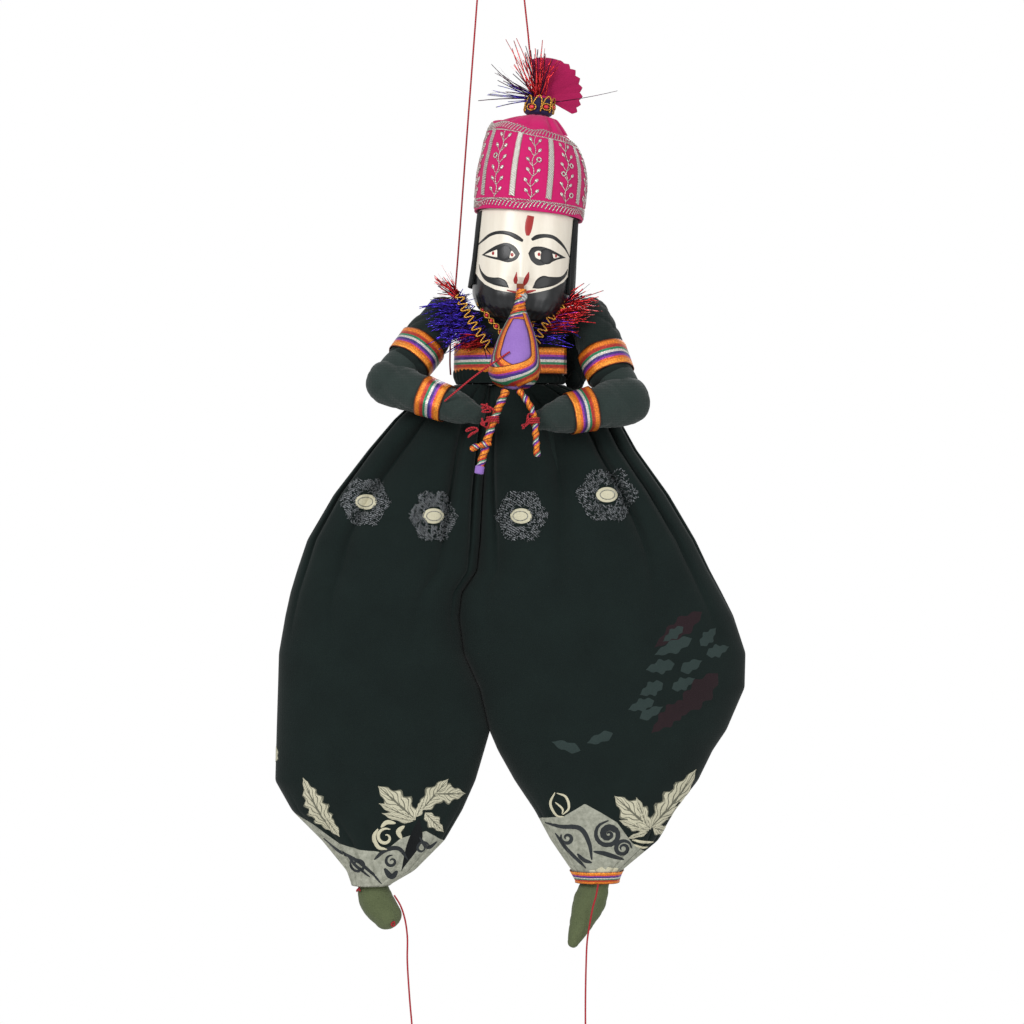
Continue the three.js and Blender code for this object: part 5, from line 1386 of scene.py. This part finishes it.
def pungi():
    """The snake charmer's pipe: a lilac cloth-covered gourd crossed by ribbons, a ribbon-wound mouthpiece
    above, and two ribbon-wound pipes below, one with a twig tied on."""
    share = np.linspace(0, 1, 70)[:, None]
    turn = TURN * np.arange(90)[None, :] / 90
    dent = creases(share * GOURD_LENGTH, turn, 3, 0.4)
    body = surface("gourd_cloth_cover", on_gourd(turn + 0 * share, share + 0 * turn, dent),
        wrap=(False, True),
                   caps=True, size=(90, 55))
    dress(body, CLOTH["purple"], "pungi", ["gourd"])
    gourd_ribbon("gourd_ribbon_under", [(-76, 0.04), (-74, 0.25), (-68, 0.5), (-62, 0.7), (-28, 0.87),
                                        (40, 0.95), (110, 0.9), (170, 0.84)], 0.35, ["gourd_ribbon"])
    gourd_ribbon("gourd_ribbon_over", [(76, 0.04), (72, 0.25), (68, 0.5), (60, 0.7), (22, 0.87),
        (-45, 0.94),
                                       (-110, 0.84), (-175, 0.76)], 0.95)
    gourd_ribbon("gourd_ribbon_back", [(120, 0.12), (135, 0.35), (150, 0.6), (180, 0.8), (215, 0.88)], 0.3)
    neck = [(7.8, -45.2, 450.5, 3.3), (7.4, -45.2, 446, 3.5), (6.6, -45, 439.5, 3.9),
        (6.2, -46.2, 434, 5.6),
            (5.7, -47.2, 428.5, 7.6)]
    line = smooth(neck, 60)
    rings = sweep(line[:, :3], line[:, 3] + 0.2 * np.sin(np.linspace(0, 60, 60)), 32, up=(0.03, 1, 0.02))
    mouth = surface("mouthpiece_ribbon", rings, wrap=(False, True), caps=True, size=(1.0, 27))
    dress(wound(mouth, 13), RIBBON, "pungi", ["pungi_neck"])
    pipes = {
        "right": ([(-2.5, -57.5, 382), (-11.5, -60.5, 360), (-20.4, -62, 328.5)], 2.7, 11),
        "left": ([(6, -57, 382), (14.8, -60, 368), (18.4, -60, 337)], 2.2, 10),
    }
    for side, (route, radius, pitch) in pipes.items():
        line = smooth(route, 120)
        length = float(np.linalg.norm(np.diff(line, axis=0), axis=1).sum())
        thick = radius + 0.3 * np.sin(TURN * np.linspace(0, length / pitch * 1.6, 120))
        pipe = tube(f"pipe_ribbon_{side}", line, thick, 24, up=(0.03, 1, 0.02))
        dress(wound(pipe, pitch), RIBBON, "pungi", [f"pipe_{side}"])
    tip = smooth([(-19.9, -61.9, 331), (-20.8, -62.1, 325.5)], 12)
    dress(tube("pipe_cloth_tip", tip, 3.1, 24, up=(0.03, 1, 0.02)), CLOTH["purple"], "pungi")
    start, end = np.array([-26.5, -66.0, 341.5]), np.array([-12.5, -66.0, 346.0])
    line = smooth([start, start + 0.35 * (end - start) + (0, 0, 1), end], 40)
    twig = tube("pipe_twig_ribbon", line, 1.5 + 0.9 * np.abs(np.sin(np.linspace(0, 7, 40))), 16,
        up=(0.03, 1, 0.02))
    dress(wound(twig, 6), RIBBON, "pungi", ["pipe_twig"])


def tangle(name, centre, size, turns, body, nodes=(), seed=1):
    """Thread wound and knotted: a closed wandering curve of a few slow waves in each direction."""
    dice = np.random.default_rng(seed)
    t = np.linspace(0, TURN, 40 * turns)[:-1]
    path = np.stack([
        sum(dice.normal() / k * np.sin(k * t + dice.uniform(0, TURN)) for k in range(1, turns + 1))
        for _ in range(3)
    ], -1)
    path = path / np.abs(path).max(0) * np.array(size) / 2 + np.array(centre)
    rings = sweep(np.concatenate([path[-1:], path, path[:1]]), 0.55, 7, up=(0.1, 1, 0.2))[1:-1]
    return dress(surface(name, rings, wrap=(True, True), size=(1, 60)), COTTON_STRING, body,
        nodes)


def hand_ties():
    """Red thread that ties the pipes to the hands, and one that crosses from the right forearm to the
    gourd."""
    for side, centre in (("right", (-11.6, -61, 362)), ("left", (15.6, -60.5, 361))):
        t = np.linspace(0, TURN * 3.2, 110)
        ring = np.array(centre) + np.stack([3.9 * np.cos(t), 3.9 * np.sin(t), np.linspace(-2.2, 2.2, 110)],
            -1)
        dress(tube(f"hand_tie_thread_{side}", ring, 0.6, 7, up=(0, 0.1, 1)), COTTON_STRING, "pungi",
              [f"hand_tie_{side}"])
    tangle("hand_tie_tangle_upper", (-15.5, -64.5, 369.5), (10, 4, 5.5), 5, "pungi", seed=4)
    tangle("hand_tie_tangle_middle", (-17.5, -65, 359.5), (7, 4, 6), 5, "pungi", seed=9)
    tangle("hand_tie_tangle_lower", (-25, -66, 353.5), (8.5, 4, 7), 6, "pungi", seed=12)
    tangle("hand_tie_tangle_left", (11.5, -62.5, 361), (7, 4, 10), 6, "pungi", seed=15)
    path = smooth([(-44, -53.2, 374.5), (-22, -63.5, 392), (0, -67.5, 407)], 90)
    thread = tube("hand_thread_red", path, 0.6, 8, up=(0.03, 1, 0.02))
    dress(thread, COTTON_STRING, "pungi", ["hand_thread"])
    t = np.linspace(0, TURN, 60)[:-1]
    r = np.array([0.05, 1.2, 2.2, 2.9, 3.25, 3.3, 3.0])[:, None]
    y = np.array([-1.5, -1.45, -1.25, -0.95, -0.5, 0.1, 0.5])[:, None] + 0.12 * np.sin(5 * t + 3 * r)
    disc = np.stack([8.6 + r * np.cos(t), -47.2 + y, 445 + r * np.sin(t)], -1)
    dress(surface("mouth_tack_head", disc, wrap=(False, True), caps=True, size=(20, 4)), STEEL, "bust",
          ["mouth_tack"])


pungi()
hand_ties()

# ---- Trousers -----------------------------------------------------------------------------------

WAIST_Z = 387.5
TROUSER = {  # height, outer side, inner side, half-depth
    "right": [
        (43, -109.5, -83.5, 13.5), (53, -113, -66, 15), (74, -130, -45, 21), (94.5, -150.5, -33, 26),
        (115, -162, -24, 30), (150, -161, -13.8, 34), (179, -160, -20.7, 35), (203, -159.4, -31.7, 34),
        (229, -155, -35.2, 33), (245, -151.5, -33, 32), (260, -147, -22.5, 31), (281, -140, -20.2, 30),
        (312, -122, -18.6, 27), (343, -98, -16.6, 23), (364, -80, -15.2, 20), (375, -68, -14.5, 18),
        (384, -48, -14, 16.5), (387.5, -37, -14, 15.5),
    ],
    "left": [
        (46, 74.5, 48, 12), (53, 77.3, 44, 14.5), (74, 102.8, 29.7, 21), (94.5, 113.9, 18.6, 26),
        (115, 129.7, 4.8, 30), (136, 140, -6.9, 32.5), (150, 149.5, -12.8, 34), (179, 162, -19.7, 35),
        (203, 162.5, -30.7, 34), (229, 154, -34.2, 33), (245, 146, -32, 32), (260, 138, -21.5, 31),
        (281, 128, -19.2, 30), (312, 109.7, -17.6, 27), (343, 87.6, -15.6, 23), (364, 76, -14.2, 20),
        (375, 64, -13.5, 18), (384, 46, -13, 16.5), (387.5, 37, -13, 15.5),
    ],
}
HEM = {  # the line under which the border's pale ground starts: across, height
    "right": [(-165, 112), (-148.4, 93.2), (-135.2, 86.3), (-117, 73.1), (-102.8, 69), (-86.7, 67.4),
              (-74.5, 77.3), (-57.3, 82.1), (-45.1, 73.8), (-20, 60)],
    "left": [(0, 78), (21.6, 90.2), (36.8, 92.3), (51, 101.4), (62.1, 95.2), (73.1, 88.3), (83.4, 74),
             (92.5, 66.9), (150, 50)],
}
MEET = {"right": 0.4, "left": -1.7}  # the two bags press together where they meet in front


def rounded(side):
    outer, inner, depth = (eased(TROUSER[side], column) for column in (1, 2, 3))
    return outer, (inner[0], inner[1] + MEET[side]), depth


ROUNDED = {side: rounded(side) for side in SIDES}


def trouser_point(side, turn, z, out=0.0):
    """A point of a trouser leg. Round its oval the cloth folds in along narrow pleats that start at the waist
    and fade down the leg, and along short gathers above the ankle."""
    outer, inner, depth = (np.interp(z, *table) for table in ROUNDED[side])
    middle, half = (outer + inner) / 2, np.abs(outer - inner) / 2
    seed = 0.4 if side == "right" else 1.7
    warp = 0.9 * np.sin(turn * 2 + seed) + 0.35 * np.sin(z / 37 + turn * 3)
    pleat = (1 - np.abs(np.sin(turn * 5 + warp))) ** 2.2
    deep = np.clip((z - 200) / 110, 0, 1) ** 1.3 * np.clip((392 - z) / 30, 0.25, 1)
    gather = (1 - np.abs(np.sin(turn * 8 + 0.8 * np.sin(turn * 3 + seed)))) ** 2
    low = np.clip((120 - z) / 60, 0, 1) ** 1.4 * np.clip((z - 40) / 12, 0.4, 1)
    swell = 0.8 * np.sin(z / 24 + turn * 2 + seed) * np.sin(z / 41 + turn)
    fold = -10.5 * deep * pleat - 3.2 * low * gather + swell - 0.8
    s = np.sin(turn)
    x, y = oval(turn, half + out + 0.15 * fold, depth + out, 2.35)
    share = np.clip(half / 40, 0.3, 1)
    return np.stack(np.broadcast_arrays(middle + x, y + fold * share * np.abs(s) ** 0.7 * np.sign(s), z),
        -1)


def on_trouser(side, x, z, out=0.35, front=True):
    """The point of a trouser leg's front, or back, at a place across and up the figure."""
    outer, inner, _ = (np.interp(z, *table) for table in ROUNDED[side])
    middle, half = (outer + inner) / 2, np.abs(outer - inner) / 2
    c = np.clip((x - middle) / half, -0.995, 0.995)
    turn = np.arccos(np.sign(c) * np.abs(c) ** (2.35 / 2))
    return trouser_point(side, -turn if front else turn, z, out)


def leg_blend(side):
    """The bust and the leg, with a point at the waist and one below the seat, as the pair of bodies for
    trouser cloth.
    """
    x = -32 if side == "right" else 26
    return "bust", f"leg_{side}", tuple(place((x, 0, WAIST_Z))), tuple(place((x, 0, 320)))


def trouser(side):
    """One leg of the wide trousers: a sheet gathered at the waist and the ankle."""
    low = TROUSER[side][0][0]
    z = np.concatenate([np.linspace(low + 3, low, 4)[:-1], np.linspace(low, WAIST_Z, 230)])[:, None]
    inset = np.concatenate([np.linspace(-2.5, -0.8, 3), np.zeros(230)])[:, None]
    turn = TURN * np.arange(300)[None, :] / 300
    points = trouser_point(side, turn, z, inset)
    line = np.array(HEM[side])
    depth = np.interp(points[..., 0], line[:, 0], line[:, 1]) - points[..., 2]
    piece = surface(f"trouser_cloth_{side}", points, wrap=(False, True), size=(400, 345),
                    attribute=("hem", depth))
    thicken(piece, 0.6, -1)
    piece = apply_modifiers(piece)
    dress(piece, VOILE, leg_blend(side), [f"trouser_{side}"])


def motif(name, side, shapes, material, out=0.35, steps=(26, 9)):
    """Woven shapes on a trouser leg, front and back: each is filled between two edges of (x, z) that share
    their ends, and lies a thread's thickness proud of the cloth."""
    grids = []
    for top, bottom in shapes:
        upper, lower = (smooth([(x, z, 0) for x, z in edge], steps[0])[:, :2] for edge in (top, bottom))
        t = np.linspace(0, 1, steps[1])[None, :, None]
        flat = upper[:, None] * (1 - t) + lower[:, None] * t
        rise = out * (1 - np.abs(2 * t[..., 0] - 1) ** 6) * np.ones((steps[0], 1))
        for front in (True, False):
            grids.append(on_trouser(side, flat[..., 0], flat[..., 1], rise, front))
    grids = np.stack(grids)
    for way, facing in (("front", (0, -1, 0)), ("back", (0, 1, 0))):
        half = grids[0 if way == "front" else 1::2]
        piece = surface(f"{name}_{way}", half, facing=facing, size=(1.0, 1.0))
        dress(piece, material, leg_blend(side))


def leaf(base, tip, width, jag=5, bend=0.0):
    """Two jagged edges from a leaf's base to its tip."""
    base, tip = np.array(base, float), np.array(tip, float)
    t = np.linspace(0, 1, 4 * jag + 1)
    along = base + t[:, None] * (tip - base)
    across = np.array([-(tip - base)[1], (tip - base)[0]]) / np.linalg.norm(tip - base)
    half = width / 2 * np.sin(math.pi * t ** 0.8) * (1 + 0.24 * np.sin(TURN * jag * t - 1.2))
    arc = bend * np.sin(math.pi * t)
    return tuple([tuple(p + (arc[k] + sign * half[k]) * across) for k, p in enumerate(along)]
        for sign in (1, -1))


def scroll(points, width):
    """Two edges of a curling stroke."""
    line = smooth([(x, z, 0) for x, z in points], 30)[:, :2]
    along = unit(np.gradient(line, axis=0))
    across = np.stack([-along[:, 1], along[:, 0]], -1)
    half = width / 2 * np.sin(math.pi * np.linspace(0.02, 0.98, 30))[:, None] ** 0.5
    return [tuple(p) for p in line + half * across], [tuple(p) for p in line - half * across]


def curl(centre, radius, start, turns, width):
    """A spiral stroke that winds in to its centre."""
    t = np.linspace(0, 1, 14)
    angle = math.radians(start) + TURN * turns * t
    reach = radius * (1 - 0.75 * t)
    return scroll([(centre[0] + r * math.cos(a), centre[1] + r * math.sin(a)) for r,
        a in zip(reach, angle)], width)


def border():
    """The woven border: cream leaves above the hem line, charcoal scrolls and rosettes on the pale ground,
    and a black sliver where a pleat folds in on the right leg: painted shade.
    """
    motif("leaf_pair_right", "right", [
        leaf((-122, 82), (-141, 119), 15, 6, 1.5), leaf((-126, 92), (-116.5, 78), 7, 2),
        leaf((-64.4, 90.2), (-89.7, 114), 17, 4), leaf((-64.4, 90), (-89.5, 102), 8, 3),
        leaf((-66, 89), (-87.5, 95), 6, 2), leaf((-64, 92), (-58.3, 104.4), 6, 2),
        leaf((-60.3, 97), (-42, 118), 13, 3), leaf((-52, 108), (-30.5, 107), 13, 3),
        leaf((-58, 95), (-45.5, 80.5), 9, 3), leaf((-162, 128), (-160.8, 139), 5, 2),
    ], LEAF)
    motif("cream_scrolls_right", "right", [
        curl((-84.9, 78), 6.5, 60, 1.1, 2.4), scroll([(-90, 84), (-93, 78), (-90, 71), (-84, 69.5)], 3),
        scroll([(-78, 88), (-84, 88.5), (-88, 85)], 3), scroll([(-72, 86), (-76, 82), (-74, 77)], 3.4),
    ], CLOTH["motif"])
    motif("charcoal_scrolls_right", "right", [
        scroll([(-128, 76), (-118, 68), (-106, 62), (-94, 52), (-88, 45)], 2.6),
        scroll([(-112, 66), (-106, 58), (-96, 50)], 2.2), curl((-104, 58.5), 6, 130, 1.4, 2.2),
        scroll([(-93, 62), (-85, 69), (-76, 70), (-70, 62)], 3.2), curl((-81, 61), 4.5, 80, 1.2, 2.2),
        scroll([(-86, 56), (-81, 50), (-77, 54)], 4), scroll([(-62, 78), (-56, 70), (-50, 74)], 2.6),
        curl((-60, 70), 5, 0, 1.1, 2),
    ], CLOTH["scroll"], 0.3)
    # a thin black sliver where a pleat folds into the pale border: painted shade in the fold
    motif("pleat_shadow_right", "right", [([(-62, 92), (-60, 76), (-74.5, 54)],
        [(-62, 92), (-70, 74), (-74.5, 54)])],
          CLOTH["hair"], 0.25)
    motif("leaf_pair_left", "left", [
        leaf((96.5, 83.1), (71, 107), 17, 4), leaf((94, 84), (86, 106), 8, 3),
        leaf((95, 82), (74.2, 90), 7, 3),
        leaf((96, 84), (127.4, 124), 18, 5, -2), leaf((98, 84), (111, 79), 9, 2),
        leaf((94, 81), (80, 77), 4, 2),
    ], LEAF)
    motif("cream_scrolls_left", "left", [
        scroll([(30.7, 109), (27.5, 101), (32, 92.5), (37, 92)], 1.8),
        scroll([(32, 108.5), (38, 106), (40, 98), (36, 93.5)], 1.8),
        scroll([(31, 102), (36, 97), (35.5, 94)], 1.4),
        scroll([(83.4, 76), (92, 74), (99, 73.5)], 2), scroll([(85, 72.5), (91, 70), (95, 70)], 1.8),
        leaf((58, 55), (54.5, 47.5), 6, 2), leaf((63, 57), (62, 46.8), 7, 2),
        leaf((67, 57), (70.5, 47.5), 6, 2),
        leaf((71, 56), (75, 50), 5, 2),
    ], CLOTH["motif"])
    motif("charcoal_scrolls_left", "left", [
        scroll([(24, 87), (34, 85), (48, 84), (54, 74), (56, 62)], 3.4), curl((39, 77), 4.6, 150, 1.2, 2.6),
        scroll([(31, 80), (38, 70), (46, 62), (52, 56)], 2.8), curl((67.2, 80), 9.7, 90, 1.8, 3.4),
        curl((77.3, 70), 6.2, 0, 1.6, 3), curl((67.5, 80), 4, 20, 1.4, 3),
        scroll([(57, 68), (66, 66), (78, 62)], 3.4),
        scroll([(46, 66), (50, 62), (56, 60)], 3),
    ], CLOTH["scroll"], 0.3)


def faded_leaves():
    """Faint leaves and a maroon patch where the pattern of the cloth's other layer shows through."""
    motif("faded_leaves_left", "left", [
        leaf((118, 222), (104, 212), 8, 3), leaf((124, 214), (98, 203), 9, 3),
        leaf((130, 209), (141, 221), 8, 3),
        leaf((134, 203), (150, 208), 8, 3), leaf((112, 197), (92, 193), 9, 3),
        leaf((116, 192), (131, 199), 8, 2),
        leaf((104, 184), (88, 176), 9, 3), leaf((110, 180), (126, 187), 8, 3),
        leaf((98, 172), (80, 166), 8, 3),
        leaf((70, 150), (52, 143), 7, 2), leaf((88, 160), (104, 168), 7, 2),
        leaf((48, 138), (28, 144), 7, 2),
    ], CLOTH["ghost"], 0.2)
    motif("faded_maroon_left", "left", [
        leaf((131, 232), (98, 208), 12, 4), leaf((142, 190), (112, 160), 16, 4),
        leaf((120, 172), (96, 150), 12, 4),
    ], CLOTH["maroon"], 0.12)


MEDALLIONS = [("right", -52, 297.4, 30, 19), ("left", 7.6, 297.4, 34, 19), ("left", 66.2, 311.9, 40, 20),
              ("right", -98.7, 307, 32, 18)]


def medallions():
    """Embroidered medallions below the waist: a cream oval with a ring and a middle line, in a lobed field of
    short silver stitches laid every way."""
    for k, (side, x, z, width, height) in enumerate(MEDALLIONS):
        turn = TURN * np.arange(40)[None, :] / 40
        r = np.linspace(0.02, 1, 8)[:, None]
        for front, facing, way in ((True, (0, -1, 0), "front"), (False, (0, 1, 0), "back")):
            disc = on_trouser(side, x + 7.5 * r * np.cos(turn), z + 5.2 * r * np.sin(turn),
                              0.75 * (1 - r ** 6) + 0 * turn, front)
            piece = surface(f"medallion_{k + 1}_{way}_middle", disc, wrap=(False, True), facing=facing)
            dress(piece, CLOTH["motif"], leg_blend(side))
            count = 700
            a = DICE.uniform(0, TURN, count)
            lobe = 1 + 0.08 * np.cos(6 * a)
            reach = np.sqrt(DICE.uniform(0.17, 1, count)) * lobe
            cx, cz = x + width / 2 * reach * np.cos(a), z + height * 0.95 * reach * np.sin(a) * 0.95
            spin = DICE.uniform(0, math.pi, count)
            t = np.linspace(-1, 1, 4)[None, :] * DICE.uniform(0.8, 1.7, count)[:, None]
            path = on_trouser(side, cx[:, None] + t * np.cos(spin)[:, None],
                cz[:, None] + t * np.sin(spin)[:, None],
                              0.3 + 0.25 * (1 - np.linspace(-1, 1, 4)[None, :] ** 2), front)
            stitches = tube(f"medallion_{k + 1}_{way}_stitches", path, 0.2, 4, up=(0.1, 1, 0.2))
            dress(stitches, DULL_SILVER, leg_blend(side))
            ring_turn = np.linspace(0, TURN, 60)
            ring = on_trouser(side, x + 5 * np.cos(ring_turn), z + 3.2 * np.sin(ring_turn),
                0.95 + 0 * ring_turn, front)
            dress(tube(f"medallion_{k + 1}_{way}_ring", ring, 0.22, 5, up=(0.1, 1, 0.2)), DULL_SILVER,
                  leg_blend(side))


for side in SIDES:
    trouser(side)
border()
faded_leaves()
medallions()

# ---- Feet ---------------------------------------------------------------------------------------

FOOT = {
    "right": [(-96.5, 0, 50, 8), (-92.5, 1.5, 32.5, 12.2), (-84.5, -3, 22, 10)],
    "left": [(61.3, 0, 50, 8.4), (55.5, 2, 32.4, 11.4), (50.4, -1, 20, 9.2), (43.5, -6, 4.2, 4.2)],
}


def feet():
    """Stuffed olive feet with a few dabs of red, and a ribbon round the left ankle."""
    for side in SIDES:
        stuffed(f"foot_cloth_{side}", FOOT[side], CLOTH["foot"], f"foot_{side}",
                [f"foot_{side}"], seed=31 + len(side), depth=0.9, blunt=(0.7, 0.9))
    for k, centre in enumerate([(-104.2, -7.0, 40.5), (-80.2, -11.6, 17.5)]):
        tangle(f"foot_red_mark_{k + 1}", centre, (2.4, 0.8, 3), 3, "foot_right", seed=40 + k)
    turn = TURN * np.arange(90)[None, :] / 90
    z = np.linspace(44.8, 53.2, 7)[:, None]
    rings = trouser_point("left", turn, np.maximum(z, 46) + 0 * turn, 0.9)
    rings[..., 2] = z
    band("ankle_band_ribbon", rings, "leg_left", ["ankle_band_left"], 0.4)


feet()

for name, material in (("leg_right", CLOTH["sleeve"]), ("leg_left", CLOTH["sleeve"]),
        ("mouth_tab", RIBBON)):
    cad = bpy.data.objects[name]
    for holder in cad.material_slots:
        holder.material = material

# ---- Light, floor and finish --------------------------------------------------------------------


def pale(name, colour):
    """A plain pale matt ground."""
    material, tree, shader, place = begin(name)
    shader.inputs["Base Color"].default_value = linear(colour)
    shader.inputs["Roughness"].default_value = 0.9
    return material


def make_floor():
    """A round pale floor below the hanging puppet."""
    r = np.linspace(0, 620, 8)[:, None]
    turn = TURN * np.arange(96)[None, :] / 96
    level = CAD_BOX[0].z / MM + HOLD[2] - FLOOR_DROP / MM
    disc = np.stack([r * np.cos(turn), r * np.sin(turn), np.full_like(r * turn, level)], -1)
    floor = surface("floor", disc, wrap=(False, True), facing=(0, 0, 1))
    floor.data.materials.append(pale("pale_floor", "#f2f2f0"))


def make_world():
    """An even pale surround: white to the camera and in reflections, softer as a light."""
    world = bpy.data.worlds.new("surround")
    bpy.context.scene.world = world
    world.use_nodes = True
    tree = world.node_tree
    path = add(tree, "ShaderNodeLightPath")
    seen = add(tree, "ShaderNodeMath", {"operation": "MAXIMUM"},
               i0=path.outputs["Is Camera Ray"], i1=path.outputs["Is Glossy Ray"])
    seen = add(tree, "ShaderNodeMath", {"operation": "MAXIMUM"},
               i0=seen.outputs[0], i1=path.outputs["Is Transmission Ray"])
    level = add(tree, "ShaderNodeMapRange", Value=seen.outputs[0], To_Min=0.55, To_Max=1.0)
    background = tree.nodes["Background"]
    background.inputs["Color"].default_value = (1, 1, 1, 1)
    tree.links.new(level.outputs[0], background.inputs["Strength"])


make_world()
make_floor()
make_lamp("key", (-0.9, -1.6, 0.35), (0, 0, -0.4), 0.9, 26)
make_lamp("fill", (1.2, -1.4, -0.2), (0, 0, -0.4), 1.1, 11)
make_lamp("rim", (0.3, 1.3, 0.5), (0, 0, -0.35), 0.8, 10)

bpy.context.scene.view_settings.view_transform = "Standard"
